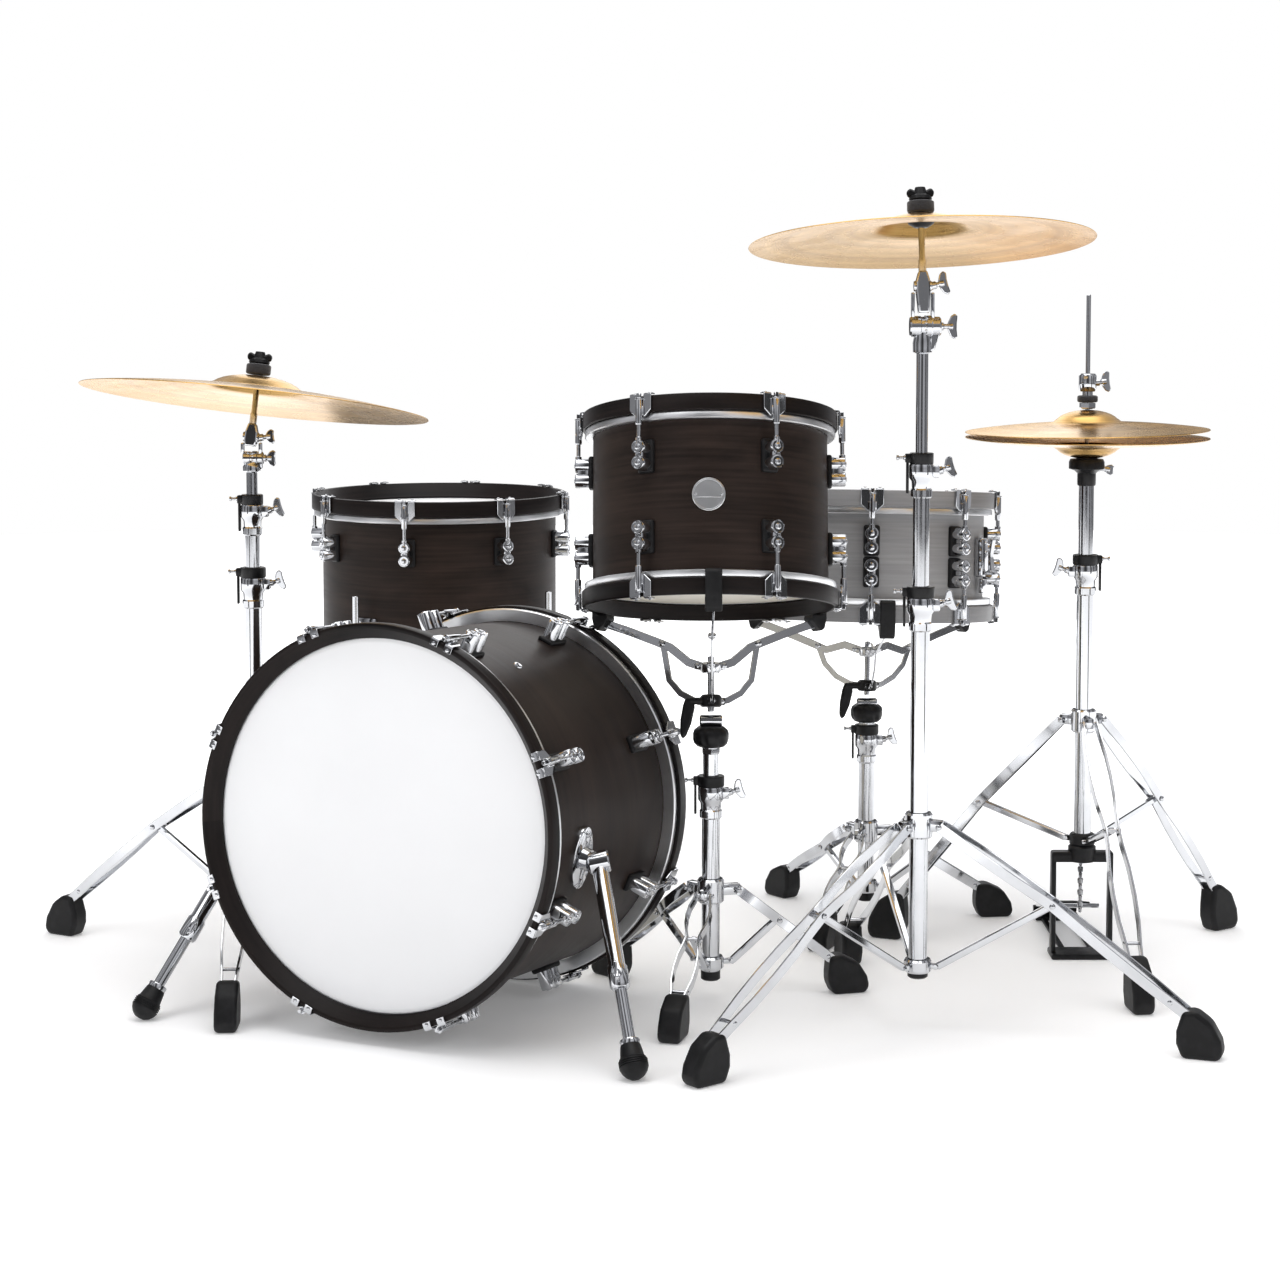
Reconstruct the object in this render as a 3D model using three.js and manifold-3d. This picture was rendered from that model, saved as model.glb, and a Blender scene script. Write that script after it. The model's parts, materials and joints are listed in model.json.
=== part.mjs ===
// Acoustic drum kit: bass drum, floor tom, rack tom, snare drum, hi-hat and two cymbals on stands.
// Millimetres, +Z up, front of the kit towards -Y. The origin lies on the floor under the kit's middle.
import * as THREE from 'three'
import { mergeVertices } from 'three/addons/utils/BufferGeometryUtils.js'
import Module from 'manifold-3d'

const wasm = await Module()
wasm.setup()

// ---------- driving dimensions ----------
const GAP = 0.35 // clearance between pieces that touch
const DRUM_SIDES = 28
const TUBE_SIDES = 10

// Drums: shell radius, length and wall. A hoop stands past the shell's side by lip, and past its edge
// by proud.
const BASS = { shellR: 248, shellLen: 355, wall: 9, lip: 22, proud: 24 }
const FLOOR_TOM = { shellR: 200, shellLen: 410, wall: 8, lip: 18, proud: 29, lowest: 175 }
const TOM = { shellR: 165, shellLen: 222, wall: 7, lip: 15, proud: 26 }
const SNARE = { shellR: 178, shellLen: 144, wall: 7, lip: 16, proud: 28 }
const FLESH_RING = { radial: 11, drop: 8 } // metal ring of a drum head, outside the shell's edge
const HEAD_THICKNESS = 2
const BASS_TURN = 25.9 // degrees that the bass drum is turned towards -X
const BASS_LIFT = 2.8 // degrees that its front is raised by the spurs

const SPUR_BRACKET = { along: 275, drop: 8, standOff: 27, radius: 15 }
const SPUR_FEET = [
  { name: 'bass_spur_right', side: 1, beside: 115, ahead: 400 },
  { name: 'bass_spur_left', side: -1, beside: 72, ahead: 440 },
]
const SPUR_ROD_R = 8
const SPUR_TUBE = { wall: 3, share: 0.55 } // the upper tube of a spur, as a share of its rod's length
const SPUR_BALL_R = 19

const FLOOR_TOM_LEGS = { radius: 5.2, offset: 11, top: 485, turns: [236.9, 326.9, 101.9] }
const LEG_TIP = { radius: 12, height: 34, inside: 5 }

// The floor plan is measured from the bass drum: beside is the distance from its hoop's side, ahead is the
// distance in front of its rear edge, and turn is the direction of a tripod's first leg.
const PLAN = {
  crash: { side: 1, beside: 355.8, ahead: 27.4, turn: 220 },
  tom: { side: 1, beside: 42.9, ahead: 12.6, turn: 254.5 },
  snare: { side: 1, beside: 59.6, ahead: -539.1, turn: 127 },
  hihat: { side: 1, beside: 436.6, ahead: -454.2, turn: 156.3 },
  ride: { side: -1, beside: 113.6, ahead: 105.1, turn: 151.8 },
  floorTom: { side: -1, beside: 223.7, ahead: -625.1 },
}

// Tripods. Each point is [radius, height]: the collar's pivot, the joint with the brace, the lower pivot and
// the end of the metal; foot is the radius of the rubber foot.
const BASE_TUBE_R = 12.7
const STRIP = { wide: 14, thick: 3 }
const STRIP_SPREAD = { collar: 10, middle: 15, joint: 9 }
const BRACE_WIDTH = 10
const BRACE = { short: 4, narrower: 4 }
const TRIPODS = {
  crash: { collar: [30, 281], joint: [184, 186], low: [26, 90], end: [365, 54], foot: 387 },
  ride: { collar: [30, 283], joint: [184, 186], low: [26, 90], end: [350, 54], foot: 372 },
  hihat: { collar: [32, 357], joint: [158, 223], low: [24, 179], end: [284, 64], foot: 311 },
  tom: { collar: [38, 158], joint: [98, 111], low: [30, 56], end: [181, 47], foot: 209 },
  snare: { collar: [38, 142], joint: [98, 100], low: [30, 54], end: [186, 45], foot: 214 },
}
const FOOT_BLOCK = { width: 32, behind: 34, ahead: 23, nose: 8, cover: 10 }
const COLLAR = { height: 34, earHalf: 8, earIn: 12, earOut: 6 }
const BRACKET = { height: 18, wall: 4, earHalf: 7, earIn: 8, earOut: 5 }

// Telescoping tubes: outer radii, and where each tube ends.
const CYMBAL_TUBE_BOTTOM = 76
const CLAMP = { wall: 7, height: 60 }
const ENGAGED = 150 // length of a tube that stays inside the one below it
const CYMBAL_STANDS = {
  crash: { baseTop: 602, midShows: 178, topShows: 167, hubToPivot: 53, pivotToRim: 56 },
  ride: { baseTop: 588, midShows: 107, topShows: 53, hubToPivot: 31, pivotToRim: 50 },
}
const TOP_ENGAGED = 120
const PLUG = 20 // solid bottom of a tube
const HUB = { radius: 14, half: 22 }
const MID_TUBE_R = 11
const TOP_TUBE_R = 8
const STEM_R = 4
const TILTER = {
  seatBelow: 3, stem: 42, clear: 4, neckR: 7, cup: { radius: 11, height: 16 },
  nut: { radius: 13, above: 7, below: 4 }, pin: { half: 13, radius: 9 },
}
const PLATES = {
  crash: { radius: 228.5, tilt: 8, roll: -1.3 },
  ride: { radius: 254, tilt: 7.75, roll: 5.6 },
}
const CYMBAL = { thickness: 1.6, hole: 6.5, bow: 20, bell: 19, bellShare: 0.26 }
const CYMBAL_SIDES = 26

const TOM_BELOW_BASS_TOP = 136 // the tom's tilt pivot is this far below the top of the bass drum
const SNARE_PIVOT = 352
const DRUM_STANDS = {
  tom: {
    bottom: 34, baseTop: 320, knobBelow: 44, turn: 0, pivotToHub: 66, hubToDrum: 84, tilt: 13, roll: 0,
  },
  snare: {
    bottom: 34, baseTop: 311, knobBelow: 37, turn: 3.9, pivotToHub: 73, hubToDrum: 53, tilt: 5, roll: 1,
  },
}
const BASKET_PIN = { below: 7, half: 16, radius: 8 }
const KNOB = { radius: 25, height: 30 }
const ARM = {
  wide: 14, thick: 6, lap: 4, post: 10, hub: 20, root: 8, elbowShare: 0.5, elbowBelow: 42,
  braceFrom: 22, braceShare: 0.42, braceBelow: 8, turns: [270, 30, 150],
}
const GRIP = { width: 24, wall: 7, over: 16, under: 12, lap: 2 }

const LEVER = {
  turn: -26, clear: 4, thick: 8, half: 9, below: 34, above: 30, pinBelow: 26, pinHalf: 14, pinR: 7,
}

const HIHAT = {
  tubeBottom: 171, baseTop: 604, tubeTop: 728, seatR: 26, seatFlare: 18,
  rodTop: 987, rodBottom: 144, topRim: 786, bottomRim: 777, radius: 178, bow: 12, bell: 18, roll: -1,
  clutch: { radius: 15, height: 18, bevel: 4, sleeveR: 8, sleeve: 52 },
}
const HIHAT_FRAME = {
  half: 46, deep: 11, post: 7, bridge: { height: 16, below: 10, overlap: 12 },
  base: { height: 14, ahead: 22, behind: 30 },
}
const ROD_CLEARANCE = 3 // between the pull rod and the frame; a tube around the rod is closer
const TUBE_CLEARANCE = 1.5
const CLUTCH_CLEARANCE = 1
const PULL_ROD_R = 3.5
const FOOTBOARD = { width: 84, heel: 262, toe: 34, heelHeight: 20, toeHeight: 70, thickness: 8 }

// ---------- materials ----------
const material = (color, roughness, metalness) =>
  new THREE.MeshStandardMaterial({ color, roughness, metalness })
const WALNUT = material(0x2c2522, 0.55, 0)
const HOOP_BLACK = material(0x232225, 0.5, 0)
const HEAD_WHITE = material(0xe9eaec, 0.5, 0)
const HEAD_CLEAR = material(0xdedacd, 0.4, 0)
const CHROME = material(0xd4d6da, 0.15, 1)
const BRONZE = material(0xb98f57, 0.3, 1)
const GREY_LACQUER = material(0x77787b, 0.5, 0)

// ---------- solids ----------
const rad = THREE.MathUtils.degToRad
const vec = (x, y, z) => new THREE.Vector3(x, y, z)

function solid(geometry) {
  const bare = geometry.clone()
  for (const name of Object.keys(bare.attributes)) {
    if (name !== 'position') bare.deleteAttribute(name)
  }
  const merged = mergeVertices(bare, 1e-4)
  return new wasm.Manifold(new wasm.Mesh({
    numProp: 3,
    vertProperties: Float32Array.from(merged.attributes.position.array),
    triVerts: Uint32Array.from(merged.index.array),
  }))
}

function geometryOf(manifold) {
  const mesh = manifold.getMesh()
  const geometry = new THREE.BufferGeometry()
  geometry.setAttribute('position', new THREE.BufferAttribute(Float32Array.from(mesh.vertProperties), 3))
  geometry.setIndex(Array.from(mesh.triVerts))
  return geometry
}

const joined = (geometries) => geometryOf(geometries.map(solid).reduce((all, next) => all.add(next)))
const cut = (geometry, tool) => geometryOf(solid(geometry).subtract(solid(tool)))

// A solid of revolution about Z from a closed outline of [radius, height] points.
function turned(outline, sides = TUBE_SIDES) {
  const points = outline.map(([r, z]) => new THREE.Vector2(r, z))
  const onAxis = outline[0][0] === 0
  if (!onAxis) points.push(points[0].clone())
  return new THREE.LatheGeometry(points, sides).rotateX(Math.PI / 2)
}

const disc = (radius, low, high, sides = TUBE_SIDES) =>
  turned([[0, low], [radius, low], [radius, high], [0, high]], sides)

const ring = (inner, outer, low, high, sides = TUBE_SIDES) =>
  turned([[inner, low], [outer, low], [outer, high], [inner, high]], sides)

// A straight rod between two points.
function rod(from, to, radius, sides = TUBE_SIDES) {
  const along = to.clone().sub(from)
  const turn = new THREE.Quaternion().setFromUnitVectors(vec(0, 0, 1), along.clone().normalize())
  return disc(radius, 0, along.length(), sides).applyQuaternion(turn).translate(from.x, from.y, from.z)
}

// A flat bar between two points: thick along the level normal of its run, wide across it.
function bar(from, to, thick, wide, extra = 0) {
  const along = to.clone().sub(from)
  const run = along.clone().normalize()
  const side = vec(-run.y, run.x, 0)
  if (side.lengthSq() < 1e-6) side.set(0, 1, 0)
  side.normalize()
  const up = run.clone().cross(side)
  const middle = from.clone().add(to).multiplyScalar(0.5)
  const frame = new THREE.Matrix4().makeBasis(run, side, up).setPosition(middle)
  return new THREE.BoxGeometry(along.length() + extra, thick, wide).applyMatrix4(frame)
}

const box = (x0, x1, y0, y1, z0, z1) =>
  new THREE.BoxGeometry(x1 - x0, y1 - y0, z1 - z0).translate((x0 + x1) / 2, (y0 + y1) / 2, (z0 + z1) / 2)

// ---------- scene graph helpers ----------
const kit = new THREE.Group()

function place(group, name, geometry, finish) {
  const mesh = new THREE.Mesh(geometry, finish)
  mesh.name = name
  group.add(mesh)
}

function groupAt(parent, x, y, z) {
  const group = new THREE.Group()
  group.position.set(x, y, z)
  parent.add(group)
  return group
}

// A group that leans away from -Y by tilt and down towards +X by roll, both in degrees.
function leaning(parent, x, y, z, tilt, roll) {
  const group = groupAt(parent, x, y, z)
  group.rotation.set(-rad(tilt), rad(roll), 0)
  return group
}

// Directions of the bass drum: across it, up its face, and along its axis to the front.
const hoopR = (drum) => drum.shellR + drum.lip
const turnSin = Math.sin(rad(BASS_TURN))
const turnCos = Math.cos(rad(BASS_TURN))
const liftSin = Math.sin(rad(BASS_LIFT))
const liftCos = Math.cos(rad(BASS_LIFT))
const bassAcross = vec(turnCos, -turnSin, 0)
const bassUp = vec(liftSin * turnSin, liftSin * turnCos, liftCos)
const bassAlong = vec(-turnSin * liftCos, -turnCos * liftCos, liftSin)
const bassLevel = vec(-turnSin, -turnCos, 0)
const bassRear = vec(0, 0, hoopR(BASS) * liftCos)

// The point of the floor plan that a stand, drum or foot stands on.
function onFloor({ side, beside, ahead }, height = 0) {
  return vec(0, 0, height).addScaledVector(bassAcross, side * (hoopR(BASS) + beside))
    .addScaledVector(bassLevel, ahead)
}

function standGroup(name) {
  const spot = onFloor(PLAN[name])
  return groupAt(kit, spot.x, spot.y, 0)
}

// ---------- drums ----------
// Each drum stands on z = 0 in its own group, with its axis along Z.
function headSolid(drum, edge, outward) {
  const skirt = drum.shellR + FLESH_RING.radial
  const at = (offset) => edge + outward * offset
  const outline = [
    [0, at(GAP)], [drum.shellR + GAP, at(GAP)], [drum.shellR + GAP, at(-FLESH_RING.drop)],
    [skirt, at(-FLESH_RING.drop)], [skirt, at(GAP + HEAD_THICKNESS)], [0, at(GAP + HEAD_THICKNESS)],
  ]
  return turned(outward > 0 ? outline : outline.reverse(), DRUM_SIDES)
}

function hoopSolid(drum, edge, outward) {
  const inner = edge + outward * (2 * GAP + HEAD_THICKNESS)
  const outer = edge + outward * drum.proud
  return ring(drum.shellR + 1, hoopR(drum), Math.min(inner, outer), Math.max(inner, outer), DRUM_SIDES)
}

function addDrum(group, name, drum, ends, finishes) {
  const low = drum.proud
  const high = drum.proud + drum.shellLen
  const shell = ring(drum.shellR - drum.wall, drum.shellR, low, high, DRUM_SIDES)
  place(group, `${name}_shell`, shell, finishes.shell)
  place(group, `${name}_hoop_${ends[1]}`, hoopSolid(drum, high, 1), finishes.hoop)
  place(group, `${name}_hoop_${ends[0]}`, hoopSolid(drum, low, -1), finishes.hoop)
  place(group, `${name}_head_${ends[1]}`, headSolid(drum, high, 1), finishes.heads[1])
  place(group, `${name}_head_${ends[0]}`, headSolid(drum, low, -1), finishes.heads[0])
}

const DARK = { shell: WALNUT, hoop: HOOP_BLACK, heads: [HEAD_CLEAR, HEAD_WHITE] }
const GREY = { shell: GREY_LACQUER, hoop: GREY_LACQUER, heads: [HEAD_CLEAR, HEAD_WHITE] }

function addBassDrum() {
  const group = groupAt(kit, 0, 0, 0)
  const frame = new THREE.Matrix4().makeBasis(bassAcross, bassUp, bassAlong).setPosition(bassRear)
  group.applyMatrix4(frame)
  addDrum(group, 'bass', BASS, ['rear', 'front'], { ...DARK, heads: [HEAD_WHITE, HEAD_WHITE] })
}

// A spur swings on its bracket's pin, which stands square to the shell.
function addSpurs() {
  const drop = rad(SPUR_BRACKET.drop)
  for (const spur of SPUR_FEET) {
    const outward = bassAcross.clone().multiplyScalar(spur.side * Math.cos(drop))
      .addScaledVector(bassUp, -Math.sin(drop))
    const root = bassRear.clone().addScaledVector(bassAlong, SPUR_BRACKET.along)
      .addScaledVector(outward, BASS.shellR + GAP)
    const pivot = root.clone().addScaledVector(outward, SPUR_BRACKET.standOff)
    const foot = onFloor(spur, SPUR_BALL_R)
    const ball = new THREE.SphereGeometry(SPUR_BALL_R, 10, 6).rotateX(Math.PI / 2)
      .translate(foot.x, foot.y, foot.z)
    const tubeEnds = [-0.05, SPUR_TUBE.share].map((share) => pivot.clone().lerp(foot, share))
    const parts = [
      rod(root, pivot, SPUR_BRACKET.radius), rod(pivot, foot, SPUR_ROD_R),
      rod(...tubeEnds, SPUR_ROD_R + SPUR_TUBE.wall), ball,
    ]
    place(kit, spur.name, joined(parts), CHROME)
  }
}

function addFloorTom() {
  const group = standGroup('floorTom')
  addDrum(groupAt(group, 0, 0, FLOOR_TOM.lowest), 'floor_tom', FLOOR_TOM, ['bottom', 'top'], DARK)
  const out = hoopR(FLOOR_TOM) + FLOOR_TOM_LEGS.offset
  FLOOR_TOM_LEGS.turns.forEach((angle, index) => {
    const x = out * Math.cos(rad(angle))
    const y = out * Math.sin(rad(angle))
    const leg = joined([
      disc(FLOOR_TOM_LEGS.radius, LEG_TIP.height - LEG_TIP.inside, FLOOR_TOM_LEGS.top),
      disc(LEG_TIP.radius, 0, LEG_TIP.height),
    ])
    place(group, `floor_tom_leg_${index + 1}`, leg.translate(x, y, 0), CHROME)
  })
}

// ---------- tripods ----------
// A flat strip through points of a leg's plane: thick across the plane, wide along its height.
function strip(points, thick, wide) {
  const corners = [[-1, -1], [1, -1], [1, 1], [-1, 1]]
  const positions = points.flatMap((point, i) => {
    const before = points[Math.max(i - 1, 0)]
    const after = points[Math.min(i + 1, points.length - 1)]
    const run = vec(after.x - before.x, 0, after.z - before.z).normalize()
    return corners.flatMap(([side, up]) => [
      point.x - (up * run.z * wide) / 2, point.y + (side * thick) / 2, point.z + (up * run.x * wide) / 2,
    ])
  })
  const last = (points.length - 1) * 4
  const faces = [0, 2, 1, 0, 3, 2, last, last + 1, last + 2, last, last + 2, last + 3]
  for (let start = 0; start < last; start += 4) {
    for (let k = 0; k < 4; k += 1) {
      const a = start + k
      const b = start + ((k + 1) % 4)
      faces.push(a, b + 4, a + 4, a, b, b + 4)
    }
  }
  const geometry = new THREE.BufferGeometry()
  geometry.setAttribute('position', new THREE.BufferAttribute(Float32Array.from(positions), 3))
  geometry.setIndex(faces)
  return geometry
}

// A leg is two strips that spread and pinch in turn; it is drawn in its own plane, radius along X.
function legParts(tripod) {
  const between = (a, b) => [(a[0] + b[0]) / 2, (a[1] + b[1]) / 2]
  const stations = [
    [tripod.collar, STRIP_SPREAD.collar], [between(tripod.collar, tripod.joint), STRIP_SPREAD.middle],
    [tripod.joint, STRIP_SPREAD.joint], [between(tripod.joint, tripod.end), STRIP_SPREAD.middle],
    [tripod.end, STRIP_SPREAD.joint],
  ]
  const strips = [-1, 1].map((side) =>
    strip(stations.map(([[r, z], spread]) => vec(r, side * spread, z)), STRIP.thick, STRIP.wide))
  return [...strips, footBlock(tripod)]
}

// The rubber foot: a bevelled block that leans with the leg and stands flat on the floor.
function footBlock(tripod) {
  const heel = tripod.foot - FOOT_BLOCK.behind
  const toe = tripod.foot + FOOT_BLOCK.ahead
  const top = tripod.end[1] + FOOT_BLOCK.cover
  const { nose } = FOOT_BLOCK
  const outline = new THREE.Shape([
    [heel, 0], [toe, 0], [toe + nose, top * 0.2], [toe - nose, top * 0.75],
    [tripod.end[0] + nose, top], [tripod.end[0] - nose, top], [heel - nose, top * 0.5],
  ].map(([x, y]) => new THREE.Vector2(x, y)))
  return new THREE.ExtrudeGeometry(outline, { depth: FOOT_BLOCK.width, bevelEnabled: false })
    .rotateX(Math.PI / 2).translate(0, FOOT_BLOCK.width / 2, 0)
}

function braceBar(tripod) {
  const low = vec(tripod.low[0], 0, tripod.low[1])
  const joint = vec(tripod.joint[0], 0, tripod.joint[1])
  const short = joint.clone().lerp(low, BRACE.short / low.distanceTo(joint))
  return bar(low, short, BRACE_WIDTH, STRIP.wide - BRACE.narrower)
}

const spun = (geometry, degrees) => geometry.clone().rotateZ(rad(degrees))

function addTripod(group, name, tripod, firstTurn) {
  const turns = [0, 120, 240].map((step) => firstTurn + step)
  const [collarR, collarZ] = tripod.collar
  const collar = ring(BASE_TUBE_R + GAP, collarR, collarZ - COLLAR.height / 2, collarZ + COLLAR.height / 2)
  const ear = box(collarR - COLLAR.earIn, collarR + COLLAR.earOut, -STRIP_SPREAD.collar, STRIP_SPREAD.collar,
    collarZ - COLLAR.earHalf, collarZ + COLLAR.earHalf)
  const legs = turns.flatMap((turn) => [ear, ...legParts(tripod)].map((part) => spun(part, turn)))
  place(group, `${name}_legs`, joined([collar, ...legs]), CHROME)
  const [lowR, lowZ] = tripod.low
  const bracket = ring(BASE_TUBE_R + GAP, lowR - BRACKET.wall, lowZ - BRACKET.height / 2,
    lowZ + BRACKET.height / 2)
  const lug = box(lowR - BRACKET.earIn, lowR + BRACKET.earOut, -BRACE_WIDTH / 2, BRACE_WIDTH / 2,
    lowZ - BRACKET.earHalf, lowZ + BRACKET.earHalf)
  const braces = turns.flatMap((turn) => [lug, braceBar(tripod)].map((part) => spun(part, turn)))
  place(group, `${name}_braces`, joined([bracket, ...braces]), CHROME)
}

// ---------- telescoping tubes ----------
// An outer tube with its clamp at the top, open upwards for the next tube.
function outerTube(radius, bottom, top, innerRadius, depth) {
  const clampR = radius + CLAMP.wall
  return turned([
    [0, bottom], [radius, bottom], [radius, top - CLAMP.height], [clampR, top - CLAMP.height],
    [clampR, top], [innerRadius + GAP, top], [innerRadius + GAP, top - depth], [0, top - depth],
  ])
}

// ---------- cymbals ----------
// z = 0 is the plane of the rim; the bell rises along +Z, with the hole at its top.
function cymbalSolid(radius, bow, bell) {
  const bellR = radius * CYMBAL.bellShare
  const radii = [CYMBAL.hole, bellR * 0.55, bellR * 0.88, bellR, radius * 0.62, radius]
  const height = (r) => {
    const dome = r < bellR ? bell * Math.sqrt(1 - (r / bellR) ** 2) : 0
    return bow * (1 - (r / radius) ** 2) + dome
  }
  const under = radii.map((r) => [r, height(r)])
  const over = radii.map((r) => [r, height(r) + CYMBAL.thickness]).reverse()
  return turned([...under, ...over], CYMBAL_SIDES)
}

function addCymbalStand(name) {
  const stand = CYMBAL_STANDS[name]
  const plate = PLATES[name]
  const tripod = TRIPODS[name]
  const group = standGroup(name)
  const midTop = stand.baseTop + stand.midShows
  const hubAt = midTop + stand.topShows
  addTripod(group, name, tripod, PLAN[name].turn)
  place(group, `${name}_base_tube`, outerTube(BASE_TUBE_R, CYMBAL_TUBE_BOTTOM, stand.baseTop, MID_TUBE_R,
    stand.baseTop - CYMBAL_TUBE_BOTTOM - PLUG), CHROME)
  place(group, `${name}_middle_tube`, outerTube(MID_TUBE_R, stand.baseTop - ENGAGED, midTop, TOP_TUBE_R,
    stand.midShows + ENGAGED - PLUG), CHROME)
  const hub = rod(vec(-HUB.half, 0, hubAt), vec(HUB.half, 0, hubAt), HUB.radius)
  place(group, `${name}_upper_tube`, joined([disc(TOP_TUBE_R, midTop - TOP_ENGAGED, hubAt), hub]), CHROME)

  const lean = leaning(group, 0, 0, hubAt + stand.hubToPivot, plate.tilt, plate.roll)
  const rise = CYMBAL.bow + CYMBAL.bell
  const rimAt = stand.pivotToRim
  const seat = rimAt + rise - TILTER.seatBelow
  const stemTop = rimAt + rise + TILTER.stem
  const foot = HUB.radius + TILTER.clear - stand.hubToPivot
  const { cup, nut, pin, neckR } = TILTER
  const tilter = [
    disc(STEM_R, 0, stemTop), disc(cup.radius, seat - cup.height, seat),
    disc(nut.radius, seat + nut.above, stemTop - nut.below),
    rod(vec(-pin.half, 0, 0), vec(pin.half, 0, 0), pin.radius), disc(neckR, foot, pin.radius / 2),
  ]
  place(lean, `${name}_tilter`, joined(tilter), CHROME)
  const cymbal = cymbalSolid(plate.radius, CYMBAL.bow, CYMBAL.bell)
  place(groupAt(lean, 0, 0, rimAt), `${name}_cymbal`, cymbal, BRONZE)
}

// ---------- drum stands with a three-armed basket ----------
function addDrumStand(name, drum, pivotAt) {
  const stand = DRUM_STANDS[name]
  const tripod = TRIPODS[name]
  const group = standGroup(name)
  const knobAt = pivotAt - stand.knobBelow
  addTripod(group, `${name}_stand`, tripod, PLAN[name].turn)
  place(group, `${name}_stand_base_tube`, outerTube(BASE_TUBE_R, stand.bottom, stand.baseTop, MID_TUBE_R,
    stand.baseTop - stand.bottom - PLUG), CHROME)
  const pinAt = pivotAt - BASKET_PIN.below
  const upper = [
    disc(MID_TUBE_R, stand.baseTop - ENGAGED, pinAt), disc(KNOB.radius, knobAt, knobAt + KNOB.height),
    rod(vec(-BASKET_PIN.half, 0, pinAt), vec(BASKET_PIN.half, 0, pinAt), BASKET_PIN.radius),
  ]
  place(group, `${name}_stand_upper_tube`, joined(upper), CHROME)

  const lean = leaning(group, 0, 0, pivotAt, stand.tilt, stand.roll)
  const hub = stand.pivotToHub
  const seat = hub + stand.hubToDrum
  const reach = hoopR(drum) + GAP
  const parts = [disc(ARM.post, ARM.post, hub + ARM.post), disc(ARM.hub, hub - ARM.post, hub + ARM.post)]
  const elbow = vec(reach * ARM.elbowShare, 0, seat - ARM.elbowBelow)
  const half = GRIP.width / 2
  for (const turn of ARM.turns) {
    const arm = [
      bar(vec(ARM.root, 0, hub), elbow, ARM.wide, ARM.thick, ARM.lap),
      bar(elbow, vec(reach + GRIP.wall / 2, 0, seat - GRIP.under / 2), ARM.wide, ARM.thick, ARM.lap),
      bar(vec(ARM.root, 0, ARM.braceFrom), vec(reach * ARM.braceShare, 0, elbow.z - ARM.braceBelow), ARM.wide,
        ARM.thick, ARM.lap),
      box(reach - GRIP.over, reach + GRIP.wall, -half, half, seat - GRIP.under, seat - GAP),
      box(reach, reach + GRIP.wall, -half, half, seat - GRIP.lap, seat + GRIP.over),
    ]
    parts.push(...arm.map((part) => spun(part, turn + stand.turn)))
  }
  place(lean, `${name}_basket`, joined(parts), CHROME)
  return groupAt(lean, 0, 0, seat)
}

// The lever that drops the snare wires hangs beside the shell, on a pin across the drum.
function addThrowLever(group) {
  const middle = SNARE.proud + SNARE.shellLen / 2
  const inner = hoopR(SNARE) + LEVER.clear
  const pin = vec(inner + LEVER.thick / 2, 0, middle - LEVER.pinBelow)
  const { half, below, above, pinHalf, pinR } = LEVER
  const lever = joined([
    box(inner, inner + LEVER.thick, -half, half, middle - below, middle + above),
    rod(vec(pin.x, -pinHalf, pin.z), vec(pin.x, pinHalf, pin.z), pinR),
  ])
  place(group, 'snare_throw_lever', spun(lever, LEVER.turn), CHROME)
}

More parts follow.
